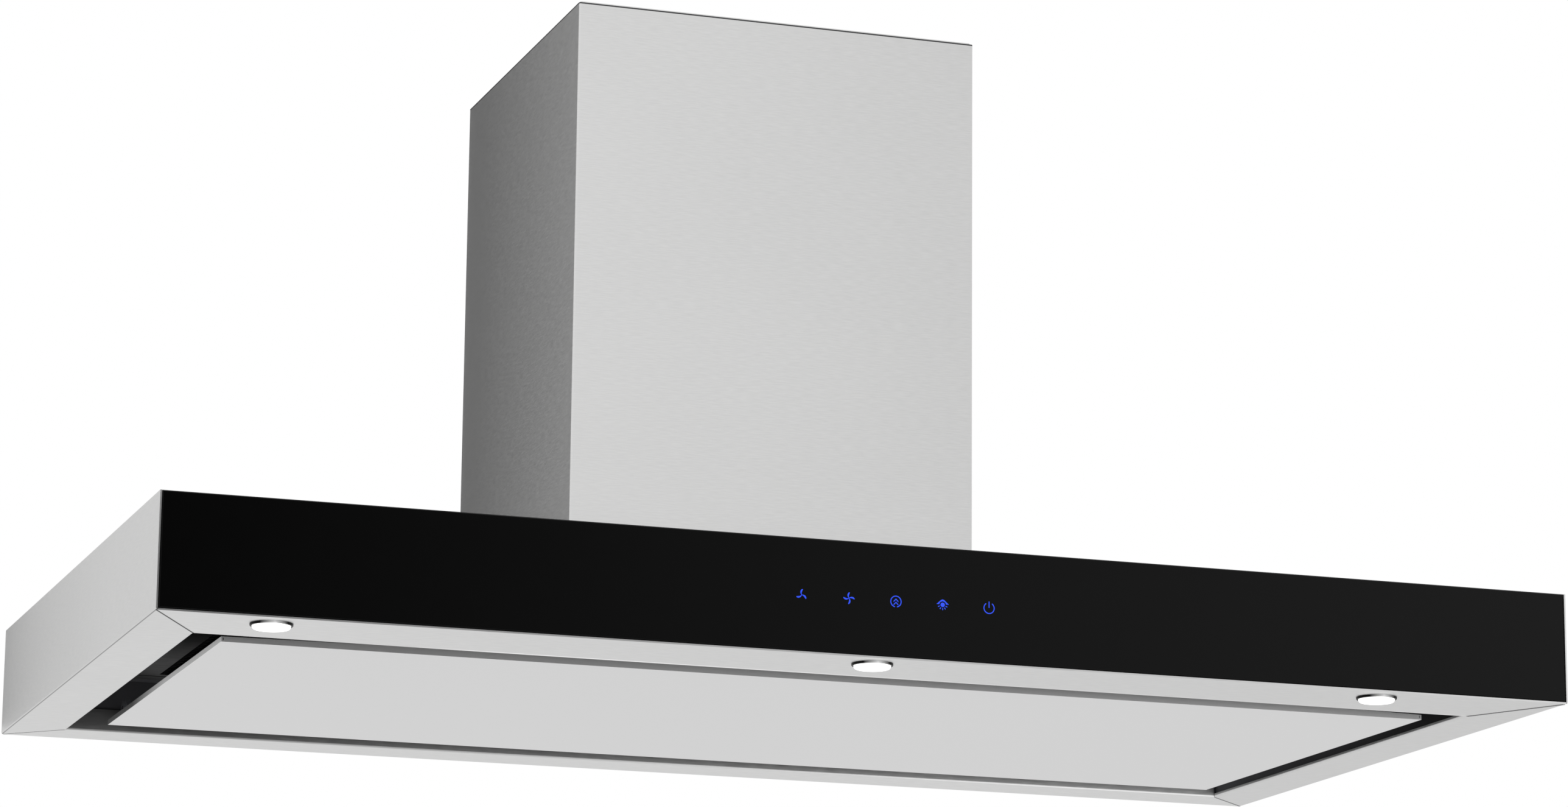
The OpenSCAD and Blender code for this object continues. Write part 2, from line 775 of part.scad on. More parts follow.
module lamp_bezel(i) {
    neck_in = neck_r - neck_wall;
    chamfer = 0.3;
    color(CHROME) translate([LAMP_X[i], lamp_y, 0]) rotate_extrude() polygon([
        [neck_in, neck_h], [neck_r, neck_h], [neck_r, 0], [bezel_r, 0],
        [bezel_r, chamfer - bezel_h], [bezel_r - chamfer, -bezel_h], [bezel_r - bezel_wall, -bezel_h],
        [bezel_r - bezel_wall, -lens_seat], [neck_in, -lens_seat]]);
}

module lamp_lens(i) {
    color(OPAL) translate([LAMP_X[i], lamp_y, -bezel_h - lens_h]) rotate_extrude()
        corner_rounded(lens_r, lens_h + bezel_h - lens_seat, lens_edge_r);
}

module lamp_sink(i) {
    fin_pitch = (sink_h - fin_t) / fin_count;
    color(ALUMINIUM) translate([LAMP_X[i], lamp_y, neck_h]) {
        cylinder(r = sink_r - fin_d, h = sink_h);
        for (k = [0 : fin_count]) translate([0, 0, k * fin_pitch]) cylinder(r = sink_r, h = fin_t);
    }
}

// ---- Filter tray and filters ----

module filter_tray() {
    t = tray_t;
    f = tray_flange_w;
    color(DARK_STEEL) difference() {
        union() {
            block([-tray_x - t, tray_front - t, sheet_t], [tray_x + t, tray_back + t, tray_z + t]);
            block([-tray_x - t - f, tray_front - t - f, sheet_t],
                [tray_x + t + f, tray_back + t + f, sheet_t + t]);
        }
        block([-tray_x, tray_front, sheet_t - cut], [tray_x, tray_back, tray_z]);
        for (x = FILTER_X) block([x - opening_w / 2, opening_front, tray_z - cut],
            [x + opening_w / 2, opening_back, tray_z + t + cut]);
    }
}

// Frame of a filter: a channel all round, two tongues behind and a notch for the latch
module filter_frame(i) {
    w = filter_w / 2;
    y0 = opening_front + filter_gap;
    y1 = opening_back - filter_gap;
    z1 = filter_z + filter_t;
    color(ALUMINIUM) translate([FILTER_X[i], 0, 0]) {
        difference() {
            block([-w, y0, filter_z], [w, y1, z1]);
            block([-w + filter_wall, y0 + filter_wall, filter_z + filter_wall],
                [w - filter_wall, y1 - filter_wall, z1 - filter_wall]);
            block([-w + filter_bar_w, y0 + filter_bar_w, filter_z - cut],
                [w - filter_bar_w, y1 - filter_bar_w, z1 + cut]);
            block([-bolt_w / 2 - latch_gap, y0 - cut, filter_z - cut],
                [bolt_w / 2 + latch_gap, y0 + notch_d, z1 + cut]);
        }
        for (s = [-1, 1]) translate([s * opening_w / 4, 0, 0])
            block([-tongue_w / 2, y1 - filter_wall, tray_z + tray_t],
                [tongue_w / 2, opening_back + tongue_reach, tray_z + tray_t + tongue_t]);
    }
}

// Pleated wire mesh, clear of the latch's notch
module filter_mesh(i) {
    pitch = mesh_w / mesh_folds;
    x0 = -mesh_w / 2;
    z0 = filter_z + filter_wall + mesh_clear;
    h = mesh_h - mesh_t;
    low = [for (k = [0 : mesh_folds]) [x0 + k * pitch, z0 + (k % 2) * h]];
    high = [for (k = [mesh_folds : -1 : 0]) [x0 + k * pitch, z0 + mesh_t + (k % 2) * h]];
    y = (opening_front + opening_back) / 2;
    color(ALUMINIUM) translate([FILTER_X[i], 0, 0]) difference() {
        translate([0, y + mesh_d / 2, 0]) rotate([90, 0, 0]) linear_extrude(mesh_d) polygon(concat(low, high));
        block([-bolt_w / 2 - 2 * latch_gap, y - mesh_d / 2 - cut, 0],
            [bolt_w / 2 + 2 * latch_gap, y - mesh_d / 2 + notch_d, canopy_h]);
    }
}

// Spring latch: a bolt over the tray, a stem through the notch and a handle below
module filter_latch(i) {
    stem_y = opening_front + filter_gap + latch_gap;
    bolt_z = tray_z + tray_t + latch_gap;
    handle_z = filter_z - latch_gap;
    color(BLACK_PLASTIC) translate([FILTER_X[i], 0, 0]) {
        block([-bolt_w / 2, stem_y, handle_z - latch_t], [bolt_w / 2, stem_y + stem_t, bolt_z + latch_t]);
        block([-bolt_w / 2, opening_front - tongue_reach, bolt_z], [bolt_w / 2, stem_y + stem_t, bolt_z + latch_t]);
        block([-latch_w / 2, stem_y, handle_z - latch_t], [latch_w / 2, stem_y + latch_d, handle_z]);
        block([-latch_w / 2, stem_y + latch_d - latch_t, handle_z - latch_t - lip_drop],
            [latch_w / 2, stem_y + latch_d, handle_z]);
    }
}

// ---- Suction panel ----

module suction_panel() {
    t = panel_t;
    top = -panel_drop + panel_edge_h;
    color(STEEL) difference() {
        block([-panel_x, panel_front, -panel_drop], [panel_x, panel_back, top]);
        block([-panel_x + t, panel_front + t, panel_floor], [panel_x - t, panel_back - t, top + cut]);
        // the upturned edges don't meet at the corners
        for (x = [-panel_x + t, panel_x - t - corner_gap], y = [panel_front, panel_back - t])
            block([x, y - cut, panel_floor], [x + corner_gap, y + t + cut, top + cut]);
    }
}

// Ring of inverted channel and two cross ribs, welded inside the panel
module panel_stiffener() {
    z = panel_floor;
    w = stiffener_w;
    ct = channel_t;
    rib_x = stiffener_x / 3;
    // solid outline of the frame, drawn in by a margin
    module outline(m, h) {
        linear_extrude(h) {
            difference() {
                translate([-stiffener_x + m, stiffener_front + m])
                    square([2 * (stiffener_x - m), stiffener_back - stiffener_front - 2 * m]);
                translate([-stiffener_x + w - m, stiffener_front + w - m])
                    square([2 * (stiffener_x - w + m), stiffener_back - stiffener_front - 2 * (w - m)]);
            }
            for (s = [-1, 1]) translate([s * rib_x - w / 2 + m, stiffener_front + w / 2])
                square([w - 2 * m, stiffener_back - stiffener_front - w]);
        }
    }
    color(GALVANISED) difference() {
        translate([0, 0, z]) outline(0, stiffener_h);
        translate([0, 0, z - cut]) outline(ct, stiffener_h + cut - ct);
    }
}

// ---- Panel hinge and catches ----

// Moving plates: a foot on the panel and an arm that clears its edge
module hinge_arms() {
    y1 = panel_back - 2 * panel_t;
    y0 = y1 - arm_foot_l + panel_t;
    over = -panel_drop + panel_edge_h + arm_clear;
    x0 = hinge_x + plate_gap / 2;
    x1 = x0 + plate_t;
    color(GALVANISED) both_sides() difference() {
        union() {
            block([x1 - arm_foot_w, y0, panel_floor], [x1, y1, panel_floor + hinge_foot_t]);
            along_x(x0, x1) {
                polygon([[y0, panel_floor], [y1, panel_floor], [y1, over], [hinge_y, hinge_z - eye_r],
                    [hinge_y, hinge_z + eye_r], [y1, hinge_z + eye_r]]);
                translate([hinge_y, hinge_z]) circle(r = eye_r);
            }
        }
        translate([x0 - cut, hinge_y, hinge_z]) rotate([0, 90, 0])
            cylinder(r = pin_r + grip, h = plate_t + 2 * cut);
    }
}

module hinge_pins() {
    x1 = hinge_x + plate_gap / 2 + plate_t;
    length = 2.5 * plate_t + plate_gap;
    color(CHROME) both_sides() translate([x1 - length, hinge_y, hinge_z])
        rotate([0, 90, 0]) cylinder(r = pin_r, h = length);
}

// Fixed plates on the back rim's lip
module hinge_hooks() {
    x1 = hinge_x - plate_gap / 2;
    low = hinge_z - eye_r - arm_clear;
    high = back_lip_h - arm_clear;
    color(BLACK_PLASTIC) both_sides() difference() {
        union() {
            block([x1 - hook_foot_w, well_back - hinge_foot_t, low], [x1, well_back, high]);
            along_x(x1 - plate_t, x1) {
                translate([hinge_y, hinge_z - eye_r]) square([well_back - hinge_y, 2 * eye_r]);
                translate([hinge_y, hinge_z]) circle(r = eye_r);
            }
        }
        translate([x1 - plate_t - cut, hinge_y, hinge_z]) rotate([0, 90, 0])
            cylinder(r = pin_r + pin_clear, h = plate_t + 2 * cut);
    }
}

// Magnets in holders that hang from the tray's ceiling
module panel_catches() {
    color(BLACK_PLASTIC) both_sides()
        block([catch_x - catch_w / 2, catch_y - catch_d / 2, catch_low],
            [catch_x + catch_w / 2, catch_y + catch_d / 2, tray_z]);
}

// Bent steel strips on the panel that the magnets hold
module panel_strikers() {
    t = striker_t;
    x = catch_x;
    w = catch_w / 2;
    y0 = catch_y - catch_d / 2;
    y1 = catch_y + catch_d / 2;
    color(GALVANISED) both_sides() {
        block([x - w, y0, striker_top - t], [x + w, y1, striker_top]);
        block([x - w, y1 - t, panel_floor], [x + w, y1, striker_top]);
        block([x - w, y0, panel_floor], [x + w, y1, panel_floor + t]);
    }
}

// ---- Blower frame ----

module blower_frame() {
    t = frame_t;
    color(GALVANISED) difference() {
        union() {
            block([-frame_x, -frame_d + t, canopy_h], [frame_x, 0, frame_top]);
            block([-frame_x, -t, canopy_h], [frame_x, 0, frame_top + hang_h]);
        }
        block([-frame_x + t, -frame_d, canopy_h + t], [frame_x - t, -t, frame_top - t]);
        block([-hole_x, hole_front, canopy_h - cut], [hole_x, hole_back, canopy_h + t + cut]);
        translate([0, collar_y, frame_top - t - cut]) cylinder(r = collar_in, h = t + 2 * cut, $fn = 96);
        for (p = FRAME_SCREWS) translate([p[0], p[1], canopy_h - cut])
            cylinder(r = screw_hole_r, h = t + 2 * cut);
        for (s = [-1, 1]) translate([s * hang_pitch / 2, cut, hang_z]) rotate([90, 0, 0])
            cylinder(r = hang_hole_r, h = t + 2 * cut);
    }
}

module frame_cover() {
    color(GALVANISED) block([-frame_x, -frame_d, canopy_h], [frame_x, -frame_d + frame_t, frame_top]);
}

// ---- Blower ----

// Outline of the scroll, seen along the shaft, drawn in by the wall for its inside
module scroll_outline(inset, top) {
    spiral = [for (a = [0 : 10 : scroll_sweep])
        (scroll_r(a) - inset) * [cos(tongue_a - a), sin(tongue_a - a)]];
    end_x = scroll_r(scroll_sweep) - inset;
    tongue_x = scroll_r0 * cos(tongue_a) - inset;
    polygon(concat(spiral, [[-end_x, top], [tongue_x, top]]));
}

// One half of the scroll, from the middle plane to its cheek
module scroll_half() {
    flange_x = half_scroll + outlet_flange_w;
    tongue_x = scroll_r0 * cos(tongue_a);
    front_x = scroll_r(scroll_sweep);
    difference() {
        union() {
            on_axis() linear_extrude(half_scroll) scroll_outline(0, scroll_top);
            translate(axis) block([0, -front_x - outlet_flange_w, scroll_top - outlet_flange_t],
                [flange_x, tongue_x + outlet_flange_w, scroll_top]);
        }
        difference() {
            on_axis() translate([0, 0, -cut])
                linear_extrude(half_scroll + cut - scroll_wall) scroll_outline(scroll_wall, scroll_top + cut);
            // rolled edge of the inlet, standing in from the cheek
            on_axis() translate([0, 0, half_scroll - scroll_wall - inlet_roll])
                cylinder(r = inlet_r + inlet_roll_t, h = inlet_roll + scroll_wall, $fn = 96);
        }
        on_axis() translate([0, 0, half_scroll - scroll_wall - inlet_roll - cut])
            cylinder(r = inlet_r, h = inlet_roll + scroll_wall + 2 * cut, $fn = 96);
        for (a = SPIDER_ANGLES) on_axis() rotate(a) translate([spider_screw_r, 0, half_scroll - screw_len])
            cylinder(r = screw_r + grip, h = screw_len + cut);
    }
}

module scroll_right() {
    color(BLACK_PLASTIC) scroll_half();
}

module scroll_left() {
    color(BLACK_PLASTIC) mirror([1, 0, 0]) scroll_half();
}

module impeller() {
    half = imp_len / 2;
    blade_in = imp_r - blade_depth;
    // drawn between the blades' inner and outer circles
    module ring(z, t) {
        translate([0, 0, z]) difference() {
            cylinder(r = imp_r, h = t, $fn = 96);
            translate([0, 0, -cut]) cylinder(r = blade_in, h = t + 2 * cut, $fn = 96);
        }
    }
    color(GREY_PLASTIC) on_axis() {
        for (k = [0 : blade_count - 1]) rotate(k * 360 / blade_count)
            translate([imp_r - blade_t / 2, 0, -half]) rotate(180 - blade_rake)
                translate([0, -blade_t / 2, 0]) cube([blade_depth, blade_t, imp_len]);
        ring(-half, ring_t);
        ring(half - ring_t, ring_t);
        difference() {
            union() {
                translate([0, 0, -ring_t / 2]) cylinder(r = imp_r - blade_depth / 2, h = ring_t, $fn = 96);
                translate([0, 0, -hub_inner]) cylinder(r = hub_r, h = hub_inner + hub_outer);
            }
            translate([0, 0, -hub_inner - cut]) cylinder(r = shaft_r + grip, h = hub_inner + hub_outer + 2 * cut);
        }
    }
}

module motor_shaft() {
    length = motor_len - shaft_inset + hub_gap + hub_inner + hub_outer;
    color(CHROME) on_axis() translate([0, 0, hub_outer - length]) cylinder(r = shaft_r, h = length);
}

module motor() {
    color(GALVANISED) on_axis() translate([0, 0, motor_front - motor_len]) difference() {
        union() {
            translate([0, 0, bell_l]) cylinder(r = motor_r, h = motor_len - 2 * bell_l);
            cylinder(r = motor_r - bell_step, h = motor_len);
        }
        translate([0, 0, shaft_inset - cut]) cylinder(r = shaft_r + shaft_clear, h = motor_len);
        for (a = [0 : 45 : 315]) rotate(a) translate([motor_r - bell_step - 2 * motor_hole_r, 0, -cut])
            cylinder(r = motor_hole_r, h = bell_l / 2 + cut);
    }
}

// Ring round the motor with three arms to the scroll's left cheek
module motor_spider() {
    color(GALVANISED) on_axis() translate([0, 0, -half_scroll - spider_t]) difference() {
        union() {
            cylinder(r = motor_r + spider_ring_w, h = spider_t);
            for (a = SPIDER_ANGLES) rotate(a)
                translate([motor_r, -spider_arm_w / 2, 0]) cube([spider_r - motor_r, spider_arm_w, spider_t]);
        }
        translate([0, 0, -cut]) cylinder(r = motor_r + grip, h = spider_t + 2 * cut);
        for (a = SPIDER_ANGLES) rotate(a) translate([spider_screw_r, 0, -cut])
            cylinder(r = screw_hole_r, h = spider_t + 2 * cut);
    }
}

module motor_screws() {
    color(CHROME) on_axis() for (a = SPIDER_ANGLES) rotate(a)
        translate([spider_screw_r, 0, -half_scroll - spider_t]) {
            translate([0, 0, -head_h]) cylinder(r = head_r, h = head_h);
            cylinder(r = screw_r, h = screw_len);
        }
}

// ---- Electrics ----

module capacitor() {
    x = frame_x - frame_t - cap_r - cap_gap;
    z = canopy_h + axis_h;
    color(GREY_PLASTIC) {
        translate([x, -axis_y, z - cap_len / 2]) cylinder(r = cap_r, h = cap_len);
        block([x, -axis_y - cap_r / 2, z - cap_len / 3], [frame_x - frame_t, -axis_y + cap_r / 2, z + cap_len / 3]);
    }
}

module module_case() {
    w = module_wall;
    x = module_w / 2;
    y = module_back - module_d;
    top = module_base + module_h;
    color(GREY_PLASTIC) difference() {
        block([-x, y, module_base], [x, module_back, top]);
        block([-x + w, y + w, module_base + w], [x - w, module_back + cut, top - w]);
        translate([0, module_back - module_d / 2, top - w - cut])
            cylinder(r = gland_bore_r + gland_wall + grip, h = w + 2 * cut);
    }
}

module module_board() {
    x = module_w / 2 - module_wall - board_clear;
    low = module_base + module_wall + board_clear;
    high = module_base + module_h - module_wall - gland_wall - 2 * board_clear;
    y = module_back - module_d / 3;
    part_low = low + terminal_h / 2;
    part_y = y - module_d / 5;
    color(BOARD_GREEN) {
        block([-x, y, low], [x, y + board_t, high]);
        block([terminal_w - x, part_y, part_low], [terminal_w - x + relay_w, y, part_low + relay_h]);
        for (k = [1 : terminal_count])
            block([x - 1.4 * k * terminal_w, part_y, part_low],
                [x - (1.4 * k - 1) * terminal_w, y, part_low + terminal_h]);
    }
}

module cable_gland() {
    top = module_base + module_h;
    gland_low = module_wall + gland_wall;
    color(BLACK_PLASTIC) translate([0, module_back - module_d / 2, top]) difference() {
        union() {
            translate([0, 0, -gland_low]) cylinder(r = gland_bore_r + gland_wall, h = gland_h);
            cylinder(r = gland_r, h = nut_h, $fn = 6);
            translate([0, 0, nut_h]) cylinder(r = gland_bore_r + 1.75 * gland_wall, h = gland_h - nut_h);
        }
        translate([0, 0, -gland_low - cut]) cylinder(r = gland_bore_r, h = gland_h + gland_low + 2 * cut);
    }
}

// ---- Outlet collar and flaps ----

module outlet_collar() {
    ledge_top = rod_h - flap_t / 2 - flap_rest;
    color(GREY_PLASTIC) translate([0, collar_y, frame_top]) difference() {
        union() {
            cylinder(r = collar_r, h = collar_h, $fn = 96);
            cylinder(r = collar_r + collar_flange_w, h = collar_flange_t, $fn = 96);
        }
        difference() {
            translate([0, 0, -cut]) cylinder(r = collar_in, h = collar_h + 2 * cut, $fn = 96);
            translate([0, 0, ledge_top - collar_flange_t])
                cylinder(r = collar_r, h = collar_flange_t, $fn = 96);
        }
        translate([0, 0, -cut]) cylinder(r = collar_in - ledge_w, h = collar_h + 2 * cut, $fn = 96);
        translate([-collar_r - cut, 0, rod_h]) rotate([0, 90, 0])
            cylinder(r = rod_r + grip, h = 2 * collar_r + 2 * cut);
    }
}

module flap_rod() {
    color(CHROME) translate([-collar_r, collar_y, rod_z]) rotate([0, 90, 0])
        cylinder(r = rod_r, h = 2 * collar_r);
}

// Half-round flap on the +Y side of the rod, with its knuckles at the given places
module flap(places) {
    difference() {
        union() {
            translate([0, 0, -flap_t / 2]) intersection() {
                cylinder(r = flap_r, h = flap_t, $fn = 96);
                block([-flap_r, flap_root, -cut], [flap_r, flap_r, flap_t + cut]);
            }
            for (x = places) {
                translate([x, 0, 0]) rotate([0, 90, 0]) cylinder(r = knuckle_r, h = knuckle_l);
                block([x, 0, -flap_t / 2], [x + knuckle_l, flap_root + cut, flap_t / 2]);
            }
        }
        translate([-collar_r, 0, 0]) rotate([0, 90, 0]) cylinder(r = rod_r + pin_clear, h = 2 * collar_r);
    }
}

module flap_back() {
    color(GREY_PLASTIC) translate([0, collar_y, rod_z]) flap(KNUCKLE_X);
}

module flap_front() {
    color(GREY_PLASTIC) translate([0, collar_y, rod_z]) rotate(180) flap(KNUCKLE_X);
}

// ---- Chimney ----

module lower_chimney() {
    color(STEEL) translate([-chimney_w / 2, -chimney_d, canopy_h]) linear_extrude(chimney_h)
        channel_section(chimney_w, chimney_d, chimney_d, sheet_t, fold_r);
}

module upper_chimney() {
    vent_y = -upper_d / 2 - vent_len / 2;
    color(STEEL) difference() {
        translate([-upper_w / 2, -upper_d, upper_low]) linear_extrude(upper_top - upper_low)
            channel_section(upper_w, upper_d, upper_d, sheet_t, fold_r);
        for (k = [0 : vent_count - 1]) translate([0, vent_y, bracket_low - vent_drop - k * vent_pitch])
            block([-upper_w, 0, 0], [upper_w, vent_len, vent_h]);
        for (z = RIVET_Z) translate([-upper_w, rivet_y, z]) rotate([0, 90, 0])
            cylinder(r = screw_r + grip, h = 2 * upper_w);
    }
}

// Angles on the canopy, inside the lower cover's two sides
module cover_angles() {
    y0 = angle_y - angle_len / 2;
    y1 = angle_y + angle_len / 2;
    color(GALVANISED) difference() {
        both_sides() {
            block([angle_x - angle_t, y0, canopy_h], [angle_x, y1, canopy_h + angle_h]);
            block([angle_x - angle_foot_w, y0, canopy_h], [angle_x, y1, canopy_h + angle_t]);
        }
        for (p = ANGLE_SCREWS) translate([p[0], p[1], canopy_h - cut])
            cylinder(r = screw_hole_r, h = angle_t + 2 * cut);
    }
}

// Strip on the wall at the upper cover's top, with an ear at each side
module ceiling_bracket() {
    high = bracket_low + bracket_h;
    color(GALVANISED) difference() {
        union() {
            block([-upper_in, -angle_t, bracket_low], [upper_in, 0, high]);
            both_sides() block([upper_in - angle_t, -ear_d, bracket_low], [upper_in, 0, high]);
        }
        for (s = [-1, 1]) translate([s * bracket_pitch / 2, cut, bracket_low + bracket_h / 2])
            rotate([90, 0, 0]) cylinder(r = bracket_hole_r, h = angle_t + 2 * cut);
        for (z = RIVET_Z) translate([-upper_w, rivet_y, z]) rotate([0, 90, 0])
            cylinder(r = screw_r + grip, h = 2 * upper_w);
    }
}

// Rivets through the ears, flush with the outside of the upper cover
module bracket_rivets() {
    color(CHROME) both_sides() for (z = RIVET_Z)
        translate([upper_in - angle_t, rivet_y, z]) rotate([0, 90, 0]) {
            cylinder(r = screw_r, h = angle_t + sheet_t);
            translate([0, 0, -rivet_head_h]) cylinder(r = rivet_head_r, h = rivet_head_h);
        }
}

// ---- Fasteners ----

// Screws up through the canopy's top into the blower frame and the angles
module base_screws() {
    color(CHROME) for (p = BASE_SCREWS) translate([p[0], p[1], canopy_h - sheet_t]) {
        translate([0, 0, -head_h]) cylinder(r = head_r, h = head_h);
        cylinder(r = screw_r, h = screw_len);
    }
}

left_side();
right_side();
front_rim();
back_panel();
canopy_top();
glass_carrier();
glass_tapes();
glass_front();
control_housing();
touch_board();
key_light_guides();
lamp_bezel(0);  // lamp_bezel_left
lamp_bezel(1);  // lamp_bezel_middle
lamp_bezel(2);  // lamp_bezel_right
lamp_lens(0);  // lamp_lens_left
lamp_lens(1);  // lamp_lens_middle
lamp_lens(2);  // lamp_lens_right
lamp_sink(0);  // lamp_sink_left
lamp_sink(1);  // lamp_sink_middle
lamp_sink(2);  // lamp_sink_right
filter_tray();
filter_frame(0);  // filter_frame_left
filter_frame(1);  // filter_frame_middle
filter_frame(2);  // filter_frame_right
filter_mesh(0);  // filter_mesh_left
filter_mesh(1);  // filter_mesh_middle
filter_mesh(2);  // filter_mesh_right
filter_latch(0);  // filter_latch_left
filter_latch(1);  // filter_latch_middle
filter_latch(2);  // filter_latch_right
suction_panel();
panel_stiffener();
hinge_arms();
hinge_pins();
hinge_hooks();
panel_catches();
panel_strikers();
blower_frame();
frame_cover();
scroll_left();
scroll_right();
impeller();
motor_shaft();
motor();
motor_spider();
motor_screws();
capacitor();
module_case();
module_board();
cable_gland();
outlet_collar();
flap_rod();
flap_front();
flap_back();
lower_chimney();
cover_angles();
upper_chimney();
ceiling_bracket();
bracket_rivets();
base_screws();
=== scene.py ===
"""Wall range hood: finishes, touch keys, lamps, grease filters, inner parts and a small studio."""

import math

import bmesh
import bpy
from bpy.props import FloatProperty, FloatVectorProperty, IntProperty, PointerProperty
from mathutils import Matrix, Vector


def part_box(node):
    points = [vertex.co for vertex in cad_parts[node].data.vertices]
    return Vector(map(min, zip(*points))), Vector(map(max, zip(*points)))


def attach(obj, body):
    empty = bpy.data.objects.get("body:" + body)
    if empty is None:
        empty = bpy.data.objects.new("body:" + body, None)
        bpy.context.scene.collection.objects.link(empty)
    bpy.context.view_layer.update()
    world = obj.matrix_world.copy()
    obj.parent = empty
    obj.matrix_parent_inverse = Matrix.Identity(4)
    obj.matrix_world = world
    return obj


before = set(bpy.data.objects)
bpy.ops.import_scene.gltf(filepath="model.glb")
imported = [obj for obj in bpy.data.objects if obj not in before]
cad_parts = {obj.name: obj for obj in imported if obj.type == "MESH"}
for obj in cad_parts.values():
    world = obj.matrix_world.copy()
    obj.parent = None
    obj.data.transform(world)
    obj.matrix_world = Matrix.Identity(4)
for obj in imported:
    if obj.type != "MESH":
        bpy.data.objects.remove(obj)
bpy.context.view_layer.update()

bl_info = {
    "name": "Box Range Hood",
    "version": (1, 0, 0),
    "blender": (4, 5, 0),
    "location": "3D View > Sidebar > Range Hood",
    "description": "Finishes, touch keys, lamps, grease filters and a studio for a wall range hood",
    "category": "Object",
}

SIDES = ("left", "middle", "right")
KEYS = ("low_speed", "high_speed", "boost", "light", "power")
WHITE = (1.0, 1.0, 1.0, 1.0)
# The part of its range that noise really uses
NOISE_RANGE = (0.3, 0.7)

# Scales of a pattern of hairs along X, Y and Z. The hairs run the ways that have a low number.
HAIRS_ALONG_X = (110, 1400, 1400)
HAIRS_ALONG_Y = (1400, 110, 1400)
HAIRS_LEVEL = (110, 110, 1400)
HAIRS_ON_RIMS = (100, 420, 420)
HAIRS_ON_PANEL = (300, 1800, 1800)
ROLLED_FRAME = (40, 700, 700)
ROLLED_SINK = (600, 600, 60)


class Value:
    """A number or colour on its way through a material. An operator on it adds one Math node."""

    def __init__(self, nodes, socket):
        self.nodes = nodes
        self.socket = socket

    def math(self, operation, first, second):
        return self.nodes.add("ShaderNodeMath", {"operation": operation}, {0: first, 1: second})[0]

    def __add__(self, other):
        return self.math("ADD", self, other)

    def __radd__(self, other):
        return self.math("ADD", other, self)

    def __sub__(self, other):
        return self.math("SUBTRACT", self, other)

    def __rsub__(self, other):
        return self.math("SUBTRACT", other, self)

    def __mul__(self, other):
        return self.math("MULTIPLY", self, other)

    def __rmul__(self, other):
        return self.math("MULTIPLY", other, self)

    def __abs__(self):
        return self.nodes.add("ShaderNodeMath", {"operation": "ABSOLUTE"}, {0: self})[0]


class Built:
    """A node that stands in a tree. An output's name or number gives its Value."""

    def __init__(self, nodes, node):
        self.nodes = nodes
        self.node = node

    def __getitem__(self, output):
        return Value(self.nodes, self.node.outputs[output])


class Nodes:
    """The node tree of a finish or of the world."""

    def __init__(self, tree):
        self.tree = tree
        tree.nodes.clear()

    def add(self, kind, settings=None, sockets=None):
        """Adds a node, makes its settings, then sets or links its sockets by name or number."""
        node = self.tree.nodes.new(kind)
        for name, value in (settings or {}).items():
            if name == "stops":
                self.set_stops(node.color_ramp, value)
            else:
                setattr(node, name, value)
        for name, value in (sockets or {}).items():
            if isinstance(value, Value):
                self.tree.links.new(value.socket, node.inputs[name])
            else:
                node.inputs[name].default_value = value
        return Built(self, node)

    def set_stops(self, ramp, stops):
        """Gives a colour ramp grey stops, each a place and a level."""
        while len(ramp.elements) > 1:
            ramp.elements.remove(ramp.elements[-1])
        for number, (place, level) in enumerate(stops):
            element = ramp.elements[0] if number == 0 else ramp.elements.new(place)
            element.position = place
            element.color = (level, level, level, 1.0)

    def place(self, scale=(1.0, 1.0, 1.0)):
        """The point on the piece, in metres, stretched by scale."""
        point = self.add("ShaderNodeTexCoord")["Object"]
        return self.add("ShaderNodeMapping", {}, {"Vector": point, "Scale": scale})[0]

    def axes(self):
        """The point on the piece, as its X, Y and Z."""
        return self.add("ShaderNodeSeparateXYZ", {}, {0: self.place()})

    def noise(self, point, scale, detail):
        sockets = {"Vector": point, "Scale": scale, "Detail": detail}
        return self.add("ShaderNodeTexNoise", {}, sockets)[0]

    def cloud(self, scale, detail=2.0, stretch=(1.0, 1.0, 1.0)):
        """Noise over the piece that uses the whole range from 0 to 1."""
        return self.spread(self.noise(self.place(stretch), scale, detail), *NOISE_RANGE)

    def cells(self, point, scale, output="Distance"):
        return self.add("ShaderNodeTexVoronoi", {}, {"Vector": point, "Scale": scale})[output]

    def spread(self, value, low, high, to_low=0.0, to_high=1.0):
        """Stretches the part of a value between low and high over another range, and clamps it."""
        ends = {1: low, 2: high, 3: to_low, 4: to_high}
        return self.add("ShaderNodeMapRange", {"clamp": True}, {0: value, **ends})[0]

    def fade(self, value, start, end):
        """1 before start, 0 after end."""
        return self.spread(value, start, end, 1.0, 0.0)

    def between(self, share, first, second):
        """A number between two others."""
        return self.spread(share, 0.0, 1.0, first, second)

    def blend(self, share, first, second):
        """A colour between two others."""
        sockets = {0: share, 6: first, 7: second}
        return self.add("ShaderNodeMix", {"data_type": "RGBA"}, sockets)[2]

    def tint(self, share, colour, dark, light):
        """A colour between a darker and a lighter one of its kind."""
        return self.blend(share, shade(colour, dark), shade(colour, light))

    def scaled(self, colour, level):
        """A colour times a level that varies over the surface."""
        sockets = {0: colour, "Scale": level}
        return self.add("ShaderNodeVectorMath", {"operation": "SCALE"}, sockets)[0]

    def bump(self, height, distance, strength):
        sockets = {"Height": height, "Distance": distance, "Strength": strength}
        return self.add("ShaderNodeBump", {}, sockets)["Normal"]

    def surface(self, sockets):
        """Ends a finish in one Principled shader."""
        shader = self.add("ShaderNodeBsdfPrincipled", {}, sockets)[0]
        self.add("ShaderNodeOutputMaterial", {}, {"Surface": shader})

    def one_sided(self, hidden, shader):
        """Ends a finish in a shader that is see-through where hidden is 1."""
        gone = self.add("ShaderNodeBsdfTransparent")[0]
        shown = self.add("ShaderNodeMixShader", {}, {0: hidden, 1: shader, 2: gone})[0]
        self.add("ShaderNodeOutputMaterial", {}, {"Surface": shown})


